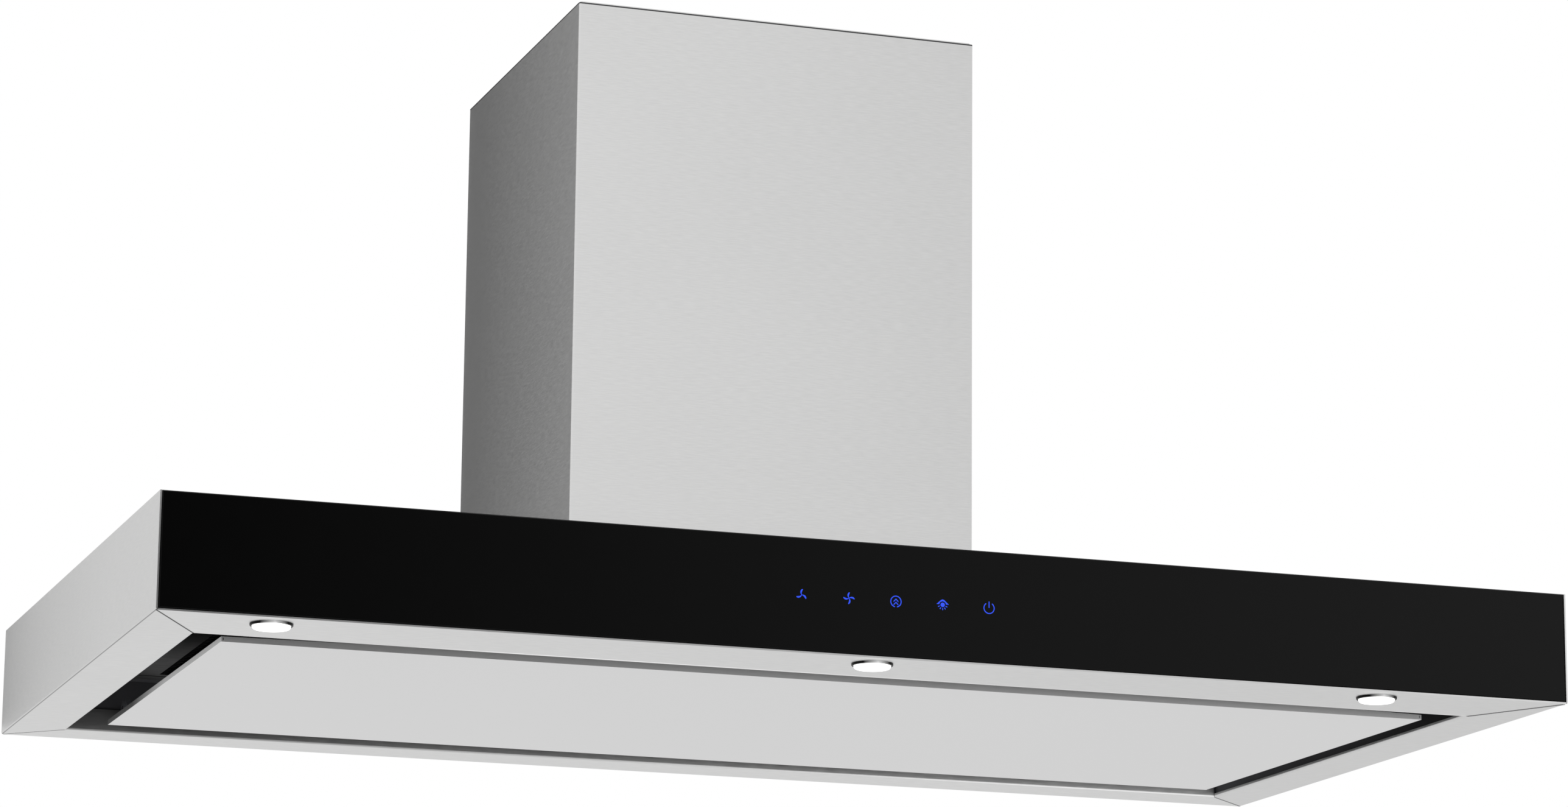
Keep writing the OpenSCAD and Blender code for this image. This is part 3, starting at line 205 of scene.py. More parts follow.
def new_finish(name):
    """A material with an empty tree, and that tree."""
    material = bpy.data.materials.new(name)
    material.use_nodes = True
    return material, Nodes(material.node_tree)


def shade(colour, level):
    """A colour made lighter or darker."""
    return (*(min(1.0, channel * level) for channel in colour[:3]), 1.0)


def brushed_steel(name, colour, grain, contrast, roughness, rim_grain=None, painted_light=None):
    """Sheet steel with short hairlines. Grain is the pattern's scale along X, Y and Z.

    The underside of a rim may have a grain of its own, and painted highlights and painted shade
    change the finish in places.
    """
    rim_face, rim_range = (0.0006, 0.0007), (0.37, 0.63)
    hair_share, cloud_share, cloud_scale = 0.85, 0.15, 7.0
    roughness_change = 0.1
    material, nodes = new_finish(name)
    hair = nodes.cloud(1.0, 2.0, grain)
    if rim_grain:
        upper = nodes.spread(nodes.axes()["Z"], *rim_face)
        rim = nodes.spread(nodes.noise(nodes.place(rim_grain), 1.0, 2.0), *rim_range)
        hair = rim + upper * (hair - rim)
    tone = hair * hair_share + nodes.cloud(cloud_scale) * cloud_share
    brushed = nodes.tint(tone, colour, 1 - contrast, 1 + contrast)
    sockets = {
        "Base Color": brushed,
        "Metallic": 1.0,
        "Roughness": roughness + (hair - 0.5) * roughness_change,
        "Normal": nodes.bump(hair, distance=0.00002, strength=0.3),
    }
    if painted_light:
        sockets.update(painted_light(nodes, brushed))
    nodes.surface(sockets)
    return material


def fold_painted_shade(nodes, colour):
    """Painted shade: darkens a side sheet in a thin line along its lower fold, and darkens the
    right sheet a little to the right.
    """
    line_foot, line_top, line_edge = (0.0001, 0.0002), (0.0004, 0.0006), (0.0014, 0.0010)
    line_depth, right_side, right_tone = 0.6, (0.0, 0.40), 0.935
    point = nodes.axes()
    side = abs(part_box("left_side")[0].x)
    low = nodes.spread(point["Z"], *line_foot) * nodes.fade(point["Z"], *line_top)
    outside = nodes.spread(abs(point["X"]), *(side - inset for inset in line_edge))
    dull = nodes.spread(point["X"], *right_side, 1.0, right_tone)
    return {"Base Color": nodes.scaled(colour, dull * (1.0 - line_depth * low * outside))}


def rim_painted_light(nodes, colour):
    """Painted highlight in a line along the front rim's back fold, and painted shade that darkens
    the rim slowly to the right.
    """
    glint, right_share = 0.45, 0.25
    line_edge, rim_face = (0.0046, 0.0034), (0.0012, 0.0016)
    line_start, line_fade = (-0.285, -0.235), (-0.12, 0.10)
    rim_ends, left_tone, right_tone = (-0.42, 0.40), 1.02, 0.925
    point = nodes.axes()
    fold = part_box("front_rim")[1].y
    line = nodes.spread(point["Y"], *(fold - inset for inset in line_edge))
    line = line * nodes.fade(point["Z"], *rim_face)
    along = nodes.spread(point["X"], *line_start)
    along = along * nodes.spread(point["X"], *line_fade, 1.0, right_share)
    dull = nodes.spread(point["X"], *rim_ends, left_tone, right_tone)
    return {"Base Color": nodes.scaled(colour, dull * (1.0 + glint * line * along))}


def lip_painted_shade(nodes, colour):
    """Painted shade on the back rim's lip, darker to the left and higher up, and painted light that
    brightens it to the right.
    """
    lip_edge, lip_foot, lip_height = (0.0024, 0.0016), (0.0001, 0.0005), (0.0, 0.006)
    painted_tone_ends, left_tone, right_tone = (-0.35, 0.30), 0.40, 1.30
    low_tone, high_tone = 1.1, 0.8
    point = nodes.axes()
    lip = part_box("back_panel")[0].y
    inside = nodes.spread(point["Y"], *(lip + inset for inset in lip_edge))
    inside = inside * nodes.spread(point["Z"], *lip_foot)
    painted_tone = nodes.spread(point["X"], *painted_tone_ends, left_tone, right_tone)
    painted_tone = painted_tone * nodes.spread(point["Z"], *lip_height, low_tone, high_tone)
    return {"Base Color": nodes.scaled(colour, 1.0 + inside * (painted_tone - 1.0))}


def edge_painted_highlight(nodes, colour):
    """Painted highlight: makes the suction panel's left edge a pale matt strip, with painted shade
    that darkens it towards the back.
    """
    edge_width, shade_fade_edge = 0.0003, (-0.25, -0.15)
    shade_grey = (0.12, 0.12, 0.12, 1.0)
    point = nodes.axes()
    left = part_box("suction_panel")[0].x
    edge = nodes.fade(point["X"], left, left + edge_width)
    painted_edge = nodes.blend(nodes.spread(point["Y"], *shade_fade_edge), WHITE, shade_grey)
    return {"Base Color": nodes.blend(edge, colour, painted_edge), "Metallic": 1.0 - edge}


def galvanised_steel(name, colour):
    """Zinc spangle: flat cells of slightly different grey under a dull sheen."""
    material, nodes = new_finish(name)
    cells = nodes.cells(nodes.place(), scale=130.0, output="Color")
    spangle = nodes.add("ShaderNodeSeparateColor", {}, {0: cells})[0]
    cloud = nodes.noise(nodes.place(), scale=30.0, detail=3.0)
    spangle_share, cloud_share = 0.6, 0.4
    tone = nodes.spread(spangle * spangle_share + cloud * cloud_share, 0.1, 0.9)
    nodes.surface({
        "Base Color": nodes.tint(tone, colour, dark=0.82, light=1.12),
        "Metallic": 1.0,
        "Roughness": nodes.between(tone, 0.5, 0.34),
        "Normal": nodes.bump(cloud, distance=0.0001, strength=0.2),
    })
    return material


def satin_paint_with_painted_shade(name, colour, front, back):
    """Powder paint with an orange-peel skin, and painted shade that is darkest at the front and
    lightens towards the back.
    """
    front_painted_shade, back_painted_light = 0.5, 6.0
    material, nodes = new_finish(name)
    peel = nodes.noise(nodes.place(), scale=900.0, detail=2.0)
    mottled = nodes.tint(nodes.cloud(14.0, 3.0), colour, dark=0.85, light=1.2)
    painted_shade_level = nodes.spread(nodes.axes()["Y"], front, back, front_painted_shade, back_painted_light)
    nodes.surface({
        "Base Color": nodes.scaled(mottled, painted_shade_level),
        "Roughness": nodes.spread(peel, *NOISE_RANGE, 0.42, 0.52),
        "Specular IOR Level": 0.25,
        "Normal": nodes.bump(peel, distance=0.00005, strength=0.5),
    })
    return material


def painted_glass(name, colour):
    """Flat glass painted black behind, with a faint float-glass wave."""
    material, nodes = new_finish(name)
    wave = nodes.noise(nodes.place(), scale=9.0, detail=1.0)
    haze = nodes.cloud(60.0, 3.0)
    nodes.surface({
        "Base Color": nodes.tint(haze, colour, dark=0.9, light=1.1),
        "Roughness": nodes.between(haze, 0.025, 0.05),
        "Specular IOR Level": 0.15,
        "Normal": nodes.bump(wave, distance=0.0001, strength=0.1),
    })
    return material


def moulded_plastic(name, colour, roughness):
    """Moulded plastic with a spark-eroded grain."""
    rougher, smoother = roughness + 0.06, roughness - 0.05
    material, nodes = new_finish(name)
    grain = nodes.cells(nodes.place(), scale=1400.0)
    nodes.surface({
        "Base Color": nodes.tint(nodes.cloud(25.0), colour, dark=0.92, light=1.08),
        "Roughness": nodes.spread(grain, 0.0, 0.6, rougher, smoother),
        "Normal": nodes.bump(grain, distance=0.00008, strength=0.35),
    })
    return material


def foam(name, colour):
    """Closed-cell foam tape."""
    material, nodes = new_finish(name)
    cells = nodes.cells(nodes.place(), scale=1100.0)
    nodes.surface({
        "Base Color": nodes.tint(nodes.spread(cells, 0.0, 0.6), colour, dark=0.5, light=1.3),
        "Roughness": 0.95,
        "Specular IOR Level": 0.2,
        "Normal": nodes.bump(cells, distance=0.0004, strength=0.6),
    })
    return material


def circuit_board(name, colour):
    """Green lacquer over copper tracks, with tinned pads on a grid."""
    tin, pad_edge = (0.5, 0.5, 0.48, 1.0), (0.14, 0.1)
    layout = {"Scale": 90.0, "Mortar Size": 0.035, "Brick Width": 0.9, "Row Height": 0.22}
    material, nodes = new_finish(name)
    point = nodes.place()
    tracks = nodes.add("ShaderNodeTexBrick", {"offset": 0.5}, {"Vector": point, **layout})[1]
    pads = nodes.spread(nodes.cells(point, scale=260.0), *pad_edge)
    lacquer = nodes.tint(tracks, colour, dark=0.7, light=1.6)
    nodes.surface({
        "Base Color": nodes.blend(pads, lacquer, tin),
        "Roughness": nodes.between(pads, 0.3, 0.42),
        "Metallic": pads,
        "Normal": nodes.bump(tracks, distance=0.00004, strength=0.6),
    })
    return material


def mill_aluminium(name, colour, grain):
    """Rolled aluminium with soft roll lines and small dents."""
    material, nodes = new_finish(name)
    rolled = nodes.cloud(1.0, 3.0, grain)
    dents = nodes.noise(nodes.place(), scale=90.0, detail=1.0)
    nodes.surface({
        "Base Color": nodes.tint(rolled, colour, dark=0.93, light=1.05),
        "Metallic": 1.0,
        "Roughness": nodes.between(rolled, 0.3, 0.42),
        "Normal": nodes.bump(dents, distance=0.00006, strength=0.4),
    })
    return material


def knitted_mesh(name, colour):
    """Layers of crossed aluminium strands with dark gaps between them."""
    waves = {"wave_type": "BANDS", "bands_direction": "DIAGONAL"}
    knit = {"Scale": 160.0, "Distortion": 1.5}
    strand_edge = (0.55, 0.9)
    material, nodes = new_finish(name)
    first, second = (
        nodes.add("ShaderNodeTexWave", waves, {"Vector": nodes.place((1.0, way, 1.0)), **knit})[1]
        for way in (1.0, -1.0)
    )
    strands = nodes.spread(first.math("MAXIMUM", first, second), *strand_edge)
    nodes.surface({
        "Base Color": nodes.tint(strands, colour, dark=0.08, light=1.0),
        "Metallic": nodes.between(strands, 0.5, 1.0),
        "Roughness": nodes.between(strands, 0.7, 0.35),
        "Normal": nodes.bump(strands, distance=0.0006, strength=0.8),
    })
    return material


def bright_plate(name, colour, roughness):
    """Plated metal with a trace of polishing cloud."""
    material, nodes = new_finish(name)
    cloud = nodes.cloud(220.0, 3.0)
    nodes.surface({
        "Base Color": nodes.tint(cloud, colour, dark=0.9, light=1.1),
        "Metallic": 1.0,
        "Roughness": nodes.between(cloud, roughness * 0.8, roughness * 1.2),
    })
    return material


def enamel_with_painted_glint(name, colour, middle, reach):
    """Black enamel of a ring, with a painted highlight near the plane X = middle."""
    material, nodes = new_finish(name)
    near = nodes.fade(abs(nodes.axes()["X"] - middle), 0.0, reach)
    nodes.surface({
        "Base Color": nodes.blend(near, (*colour, 1.0), WHITE),
        "Roughness": nodes.between(nodes.cloud(220.0, 3.0), 0.3, 0.4),
        "Specular IOR Level": 0.05,
    })
    return material


def lit_plastic(name, colour, glow, strength):
    """Clear or opal plastic lit from behind, slightly uneven."""
    material, nodes = new_finish(name)
    cloud = nodes.cloud(300.0, 1.0)
    nodes.surface({
        "Base Color": (*colour, 1.0),
        "Roughness": nodes.between(cloud, 0.2, 0.28),
        "Emission Color": nodes.tint(cloud, glow, dark=0.97, light=1.0),
        "Emission Strength": strength,
    })
    return material


def dress(material, *names):
    """Gives CAD nodes a finish."""
    for name in names:
        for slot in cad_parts[name].material_slots:
            slot.material = material


def new_object(bm, name, material):
    """Turns a bmesh into an object of the scene."""
    mesh = bpy.data.meshes.new(name)
    bm.to_mesh(mesh)
    bm.free()
    mesh.materials.append(material)
    piece = bpy.data.objects.new(name, mesh)
    bpy.context.scene.collection.objects.link(piece)
    return piece


def finish_piece(bm, name, material, body=None):
    """Turns a bmesh into a piece whose faces point outwards and which rides on a body."""
    bmesh.ops.recalc_face_normals(bm, faces=bm.faces)
    piece = new_object(bm, name, material)
    if body:
        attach(piece, body)
    return piece


def thicken(bm, push):
    """Extrudes all the faces of a flat shape by a vector."""
    raised = bmesh.ops.extrude_face_region(bm, geom=bm.faces[:])["geom"]
    verts = [item for item in raised if isinstance(item, bmesh.types.BMVert)]
    bmesh.ops.translate(bm, verts=verts, vec=push)


def arc_band(bm, inner, outer, start, sweep, steps):
    """A flat band round the Y axis. Start and sweep are in degrees, from +Z towards +X."""
    turn = Matrix.Rotation(math.radians(start), 3, "Y")
    ends = [bm.verts.new(turn @ Vector((0, 0, radius))) for radius in (inner, outer)]
    edge = bm.edges.new(ends)
    bmesh.ops.spin(
        bm, geom=[*ends, edge], cent=(0, 0, 0), axis=(0, 1, 0), angle=math.radians(sweep),
        steps=steps, use_merge=False,
    )


def disc(bm, radius, segments=24):
    """A flat disc that faces the front, as its vertices."""
    made = bmesh.ops.create_circle(bm, cap_ends=True, radius=radius, segments=segments)["verts"]
    bmesh.ops.rotate(bm, verts=made, matrix=Matrix.Rotation(math.pi / 2, 3, "X"))
    return made


def flat_shape(bm, corners, angle=0.0):
    """A flat shape from its corners along X and Z, turned about the Y axis."""
    turn = Matrix.Rotation(angle, 3, "Y")
    bm.faces.new([bm.verts.new(turn @ Vector((x, 0, z))) for x, z in corners])


def bar(bm, width, foot, top, angle=0.0):
    """A flat upright bar from foot to top, turned about the Y axis."""
    side = width / 2
    flat_shape(bm, [(-side, foot), (side, foot), (side, top), (-side, top)], angle)


def fan_blade(bm, reach, width, angle, twist):
    """One fan blade: an egg shape from the hub outwards, wider and bent at its tip."""
    hub_width, widening = 0.35, 0.95
    for vert in disc(bm, 0.5, 28):
        along = vert.co.z + 0.5
        swell = hub_width + widening * along
        bent = Matrix.Rotation(angle + twist * along, 3, "Y")
        vert.co = bent @ Vector((vert.co.x * width * swell, 0, along * reach))


def colour_setting(name, description, default):
    return FloatVectorProperty(
        name=name, description=description, default=default, subtype="COLOR"
    )


def length_setting(name, description, default):
    return FloatProperty(name=name, description=description, default=default, subtype="DISTANCE")


class RANGEHOOD_PG_finishes(bpy.types.PropertyGroup):
    """Colours of the hood's finishes."""

    steel: colour_setting("Steel", "Brushed steel of the sheets", (0.68, 0.68, 0.677))
    panel: colour_setting("Panel", "Satin steel of the suction panel", (0.72, 0.72, 0.72))
    zinc: colour_setting("Zinc", "Galvanised inner sheets", (0.46, 0.48, 0.5))
    # The tray's black is painted shade: it stands in for the shade inside the well.
    tray: colour_setting("Tray", "Satin black paint of the filter tray", (0.012, 0.012, 0.013))
    glass: colour_setting("Glass", "Black paint behind the glass", (0.001, 0.001, 0.001))
    black_plastic: colour_setting("Black Plastic", "Moulded black parts", (0.018, 0.018, 0.02))
    grey_plastic: colour_setting("Grey Plastic", "Moulded grey parts", (0.2, 0.21, 0.225))
    board: colour_setting("Board", "Lacquer of the circuit boards", (0.01, 0.09, 0.035))
    aluminium: colour_setting("Aluminium", "Lamp sinks", (0.66, 0.67, 0.68))
    # The filters' dark colour is painted shade: it stands in for the shade inside the well.
    filter_metal: colour_setting(
        "Filter Metal", "Dark-coated aluminium of the grease filters", (0.035, 0.035, 0.037)
    )
    key_light: colour_setting("Key Light", "Glow of the touch keys", (0.015, 0.075, 0.95))
    hairline: FloatProperty(
        name="Hairline", description="Contrast of the steel's hairlines", default=0.05,
        min=0.0, max=0.3, subtype="FACTOR",
    )
    lamp_strength: FloatProperty(
        name="Lamp Strength", description="Brightness of the lamp lenses", default=1.1,
        min=0.0, max=10.0,
    )


class RANGEHOOD_PG_trim(bpy.types.PropertyGroup):
    """Sizes of the pieces on the glass, the sheets and the filters."""

    key_pitch: length_setting("Key Pitch", "Distance between touch keys", 0.030)
    key_radius: length_setting("Key Radius", "Outer radius of a key's ring", 0.0036)
    key_line: length_setting("Key Line", "Width of a key's lines", 0.00058)
    key_relief: length_setting("Key Relief", "Thickness of a printed key symbol", 0.0001)
    # The seam filler is a dark strip of painted shade, for the shadow in the mitre gaps.
    seam_width: length_setting("Seam Width", "Width of the rims' mitre seams", 0.0011)
    wide_seam: length_setting("Wide Seam", "Width of the seam at the right front corner", 0.0026)
    seam_height: length_setting("Seam Height", "Thickness of the seam filler", 0.0006)
    seam_proud: length_setting(
        "Seam Proud", "How far the seam filler stands below the rims", 0.00004
    )
    seam_inset: length_setting(
        "Seam Inset", "Distance of a seam's ends from the rims' edges", 0.0016
    )
    flange_height: length_setting(
        "Flange Height", "Height of the flange above the suction panel", 0.0009
    )
    flange_sheet: length_setting("Flange Sheet", "Thickness of the panel's flange", 0.0008)
    flange_setback: length_setting(
        "Flange Setback", "Distance of the flange behind the panel's front face", 0.00005
    )
    flange_taper_left: length_setting(
        "Flange Taper Left", "Length of the flange's taper on the left", 0.120
    )
    flange_taper_right: length_setting(
        "Flange Taper Right", "Length of the flange's taper on the right", 0.050
    )
    # The trim is a dark strip of painted shade, for the shadow in the gap between the covers.
    trim_height: length_setting(
        "Trim Height", "Height of the trim on the lower cover's edge", 0.0009
    )
    trim_gap: length_setting("Trim Gap", "Clearance between the trim and the upper cover", 0.0001)
    trim_corner: length_setting("Trim Corner", "Radius of the trim's corners", 0.0014)
    diamond_length: length_setting("Diamond Length", "Long way of the lattice's diamonds", 0.011)
    diamond_width: length_setting("Diamond Width", "Short way of the lattice's diamonds", 0.006)
    strand: length_setting("Strand", "Width of the lattice's strands", 0.0008)
    frame_bar: length_setting("Frame Bar", "Width of a filter frame's bars", 0.014)
    lattice_border: length_setting(
        "Lattice Border", "Width of the plain strip round a lattice", 0.0125
    )
    latch_half_width: length_setting(
        "Latch Half Width", "Half of the free width for a filter's latch", 0.032
    )
    latch_room: length_setting("Latch Room", "Free depth for a filter's latch", 0.020)


class RANGEHOOD_PG_stage(bpy.types.PropertyGroup):
    """Camera, floor and light."""

    azimuth: FloatProperty(
        name="Azimuth", description="Camera's turn to the right of the wall's normal",
        subtype="ANGLE", default=math.radians(18.6955),
    )
    elevation: FloatProperty(
        name="Elevation", description="Camera's tilt upwards", subtype="ANGLE",
        default=math.radians(12.6056),
    )
    roll: FloatProperty(
        name="Roll", description="Camera's roll", subtype="ANGLE", default=math.radians(0.5557)
    )
    place: FloatVectorProperty(
        name="Place", description="Camera's place", subtype="TRANSLATION",
        default=(-0.99757, -3.23825, -0.49436),
    )
    lens: FloatProperty(name="Lens", description="Focal length in millimetres", default=112.77)
    floor_drop: length_setting("Floor Drop", "Floor below the canopy", 1.65)
    floor_tone: FloatProperty(
        name="Floor Tone", description="Brightness of the floor", default=0.86, subtype="FACTOR",
        min=0.0, max=1.0,
    )
    daylight: FloatProperty(
        name="Daylight", description="Strength of the even light", default=0.85, min=0.0, max=2.0
    )
    segments: IntProperty(
        name="Segments", description="Corners of the floor's rim", default=96, min=24
    )


class RANGEHOOD_OT_sheets(bpy.types.Operator):
    """Brushes the canopy's and chimney's sheets and the suction panel"""

    bl_idname = "rangehood.sheets"
    bl_label = "Sheet Metal"

    def execute(self, context):
        colours = context.scene.hood_finishes
        steel, contrast = colours.steel, colours.hairline
        faint = contrast * 0.15
        matt, dull, soft = 0.55, 0.45, 0.33
        # The rims' finishes carry painted highlights and painted shade, and the panel's edge a
        # painted highlight.
        rims = (
            ("front", HAIRS_ALONG_X, rim_painted_light, ("front_rim",)),
            ("back", HAIRS_ALONG_X, lip_painted_shade, ("back_panel",)),
            ("deep", HAIRS_ALONG_Y, fold_painted_shade, ("left_side", "right_side")),
        )
        for name, hairs, painted_light, sheets in rims:
            finish = f"steel_brushed_{name}"
            steel_rim = brushed_steel(finish, steel, hairs, contrast, dull, HAIRS_ON_RIMS, painted_light)
            dress(steel_rim, *sheets)
        across = brushed_steel("steel_brushed_across", steel, HAIRS_ALONG_X, contrast, dull)
        dress(across, "canopy_top")
        level = brushed_steel("steel_brushed_level", steel, HAIRS_LEVEL, contrast, soft)
        dress(level, "lower_chimney", "upper_chimney")
        panel = ("steel_satin", colours.panel, HAIRS_ON_PANEL, faint, matt)
        dress(brushed_steel(*panel, painted_light=edge_painted_highlight), "suction_panel")
        return {"FINISHED"}


class RANGEHOOD_OT_mitre_seams(bpy.types.Operator):
    """Lays a dark strip in the four mitred corners of the rims, as painted shade for the shadow in
    their gaps
    """

    bl_idname = "rangehood.mitre_seams"
    bl_label = "Mitre Seams"

    def execute(self, context):
        trim = context.scene.hood_trim
        front, well_front = (corner.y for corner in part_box("front_rim"))
        well_back, back = (corner.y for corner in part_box("back_panel"))
        side, well_x = (abs(corner.x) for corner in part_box("left_side"))
        bm = bmesh.new()
        corners = (
            (-1, front, well_front, trim.seam_width), (-1, back, well_back, trim.seam_width),
            (1, front, well_front, trim.wide_seam), (1, back, well_back, trim.seam_width),
        )
        for way, outer_y, inner_y, width in corners:
            outer, inner = Vector((way * side, outer_y, 0)), Vector((way * well_x, inner_y, 0))
            along = (inner - outer).normalized()
            across = Vector((-along.y, along.x, 0)) * (width / 2)
            start = outer + along * (trim.seam_inset + width - trim.seam_width)
            end = inner - along * trim.seam_inset
            outline = (start - across, end - across, end + across, start + across)
            bm.faces.new([bm.verts.new(point) for point in outline])
        thicken(bm, (0, 0, trim.seam_height))
        bmesh.ops.translate(bm, verts=bm.verts, vec=(0, 0, -trim.seam_proud))
        # Painted shade: a dark strip for the shadow in each mitre gap.
        black = context.scene.hood_finishes.black_plastic
        material = moulded_plastic("seam_painted_shade", black, roughness=0.6)
        finish_piece(bm, "mitre_seams", material, "hood")
        return {"FINISHED"}


class RANGEHOOD_OT_panel_flange(bpy.types.Operator):
    """Adds the stiffening flange on the suction panel's front edge, which tapers to both sides"""

    bl_idname = "rangehood.panel_flange"
    bl_label = "Panel Flange"

    def execute(self, context):
        trim = context.scene.hood_trim
        low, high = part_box("suction_panel")
        foot, top = high.z - trim.flange_sheet, high.z + trim.flange_height
        left, right = low.x + trim.flange_taper_left, high.x - trim.flange_taper_right
        front = low.y + trim.flange_setback
        bm = bmesh.new()
        flat_shape(bm, [
            (low.x, foot), (high.x, foot), (high.x, high.z),
            (right, top), (left, top), (low.x, high.z),
        ])
        bmesh.ops.translate(bm, verts=bm.verts, vec=(0, front, 0))
        thicken(bm, (0, trim.flange_sheet, 0))
        satin = context.scene.hood_finishes.panel
        material = brushed_steel(
            "steel_flange", satin, HAIRS_ON_PANEL, contrast=0.01, roughness=0.55
        )
        finish_piece(bm, "panel_front_flange", material, "panel")
        return {"FINISHED"}


class RANGEHOOD_OT_cover_trim(bpy.types.Operator):
    """Lays a dark strip on the lower cover's edge, where the upper cover slides out, as painted
    shade for the shadow in the gap
    """

    bl_idname = "rangehood.cover_trim"
    bl_label = "Cover Trim"

    def execute(self, context):
        trim = context.scene.hood_trim
        low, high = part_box("lower_chimney")
        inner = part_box("upper_chimney")[0] - Vector((trim.trim_gap, trim.trim_gap, 0))
        bm = bmesh.new()
        outline = [(low.x, high.y), (low.x, low.y), (high.x, low.y), (high.x, high.y)]
        inside = [(-inner.x, high.y), (-inner.x, inner.y), (inner.x, inner.y), (inner.x, high.y)]
        bm.faces.new([bm.verts.new((x, y, high.z)) for x, y in outline + inside])
        thicken(bm, (0, 0, trim.trim_height))
        corners = [edge for edge in bm.edges if self.is_front_corner(edge, low)]
        bmesh.ops.bevel(
            bm, geom=corners, offset=trim.trim_corner, offset_type="OFFSET", segments=4,
            profile=0.5, affect="EDGES", material=-1,
        )
        # Painted shade: a dark strip for the shadow in the gap between the covers.
        black = context.scene.hood_finishes.black_plastic
        material = moulded_plastic("trim_painted_shade", black, roughness=0.5)
        finish_piece(bm, "cover_gap_painted_shade", material, "hood")
        return {"FINISHED"}

    def is_front_corner(self, edge, low):
        """Whether an edge is one of the dark strip's two upright front corners."""
        near = 1e-6
        first, second = (vert.co for vert in edge.verts)
        return abs(first.z - second.z) > near and abs(first.y - low.y) < near


class RANGEHOOD_OT_keys(bpy.types.Operator):
    """Finishes the glass and draws the five lit touch keys on it"""

    bl_idname = "rangehood.keys"
    bl_label = "Glass and Touch Keys"

    def execute(self, context):
        colours, trim = context.scene.hood_finishes, context.scene.hood_trim
        dress(painted_glass("glass_black", colours.glass), "glass_front")
        clear, dark_blue = (0.8, 0.83, 0.9), (0.004, 0.008, 0.03)
        guide = lit_plastic("guide_clear", clear, colours.key_light, strength=0.4)
        dress(guide, "key_light_guides")
        lit = lit_plastic("key_glow", dark_blue, colours.key_light, strength=1.0)
        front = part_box("glass_front")[0].y
        low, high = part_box("key_light_guides")
        height = (low.z + high.z) / 2
        shapes = (self.low_speed, self.high_speed, self.boost, self.light, self.power)
        for number, (key, draw) in enumerate(zip(KEYS, shapes)):
            bm = bmesh.new()
            draw(bm, trim.key_radius, trim.key_line)
            thicken(bm, (0, -trim.key_relief, 0))
            x = (number - len(KEYS) // 2) * trim.key_pitch
            bmesh.ops.translate(bm, verts=bm.verts, vec=(x, front, height))
            finish_piece(bm, f"key_symbol_{key}", lit, "hood")
        return {"FINISHED"}

    def fan(self, bm, ring, line, blades, width, lean):
        """A small hub with fan blades. Width is a blade's share of the ring."""
        for blade in range(blades):
            fan_blade(bm, ring, ring * width, blade * math.tau / blades - lean, twist=0.7)
        disc(bm, line / 2)

    def low_speed(self, bm, ring, line):
        self.fan(bm, ring, line, blades=3, width=0.34, lean=0.55)

    def high_speed(self, bm, ring, line):
        self.fan(bm, ring, line, blades=4, width=0.33, lean=0.62)

    def boost(self, bm, ring, line):
        """Two chevrons, one over the other, in an open ring."""
        arm, thickness = 0.42, line * 1.35
        rises = (-0.45, 0.1)
        arc_band(bm, ring - line, ring, start=192, sweep=336, steps=48)
        for rise in rises:
            top, side = (rise + arm) * ring, arm * ring
            foot = top - side
            peak = [(0, top), (0, top - thickness)]
            for end in (-side, side):
                flat_shape(bm, [*peak, (end, foot - thickness), (end, foot)])

    def light(self, bm, ring, line):
        """A lamp shade over a bulb that sends out five rays."""
        outline = [
            (-1.12, 0.08), (-0.28, 0.82), (0, 0.92), (0.28, 0.82), (1.12, 0.08),
            (0.62, 0.08), (0.46, 0.42), (0, 0.62), (-0.46, 0.42), (-0.62, 0.08),
        ]
        bulb, ray_foot, ray_top = ring * 0.38, ring * 0.55, ring * 0.9
        ray_width, ray_step = line * 0.84, 34
        flat_shape(bm, [(x * ring, z * ring) for x, z in outline])
        disc(bm, bulb)
        for ray in range(-2, 3):
            bar(bm, ray_width, ray_foot, ray_top, math.radians(180 + ray * ray_step))

    def power(self, bm, ring, line):
        """A ring that is open at its top, with a bar in the opening."""
        foot, top = ring * 0.05, ring * 1.12
        arc_band(bm, ring - line, ring, start=35, sweep=290, steps=44)
        bar(bm, line, foot, top)


class RANGEHOOD_OT_lamps(bpy.types.Operator):
    """Lights the three lamps and enamels their rings, each with a painted highlight"""

    bl_idname = "rangehood.lamps"
    bl_label = "Lamps"

    def execute(self, context):
        black, lit, glow = (0.003, 0.003, 0.0035), (0.9, 0.9, 0.88), (1.0, 1.0, 0.985)
        glint_middle, glint_reach = 0.47, 0.32
        colours = context.scene.hood_finishes
        lens = lit_plastic("lamp_opal", lit, glow, colours.lamp_strength)
        sink = mill_aluminium("sink_aluminium", colours.aluminium, ROLLED_SINK)
        for side in SIDES:
            low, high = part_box(f"lamp_bezel_{side}")
            width = high.x - low.x
            middle, reach = low.x + width * glint_middle, width * glint_reach
            # Painted highlight near the middle of each ring.
            dress(enamel_with_painted_glint(f"lamp_ring_{side}", black, middle, reach), f"lamp_bezel_{side}")
            dress(lens, f"lamp_lens_{side}")
            dress(sink, f"lamp_sink_{side}")
        return {"FINISHED"}


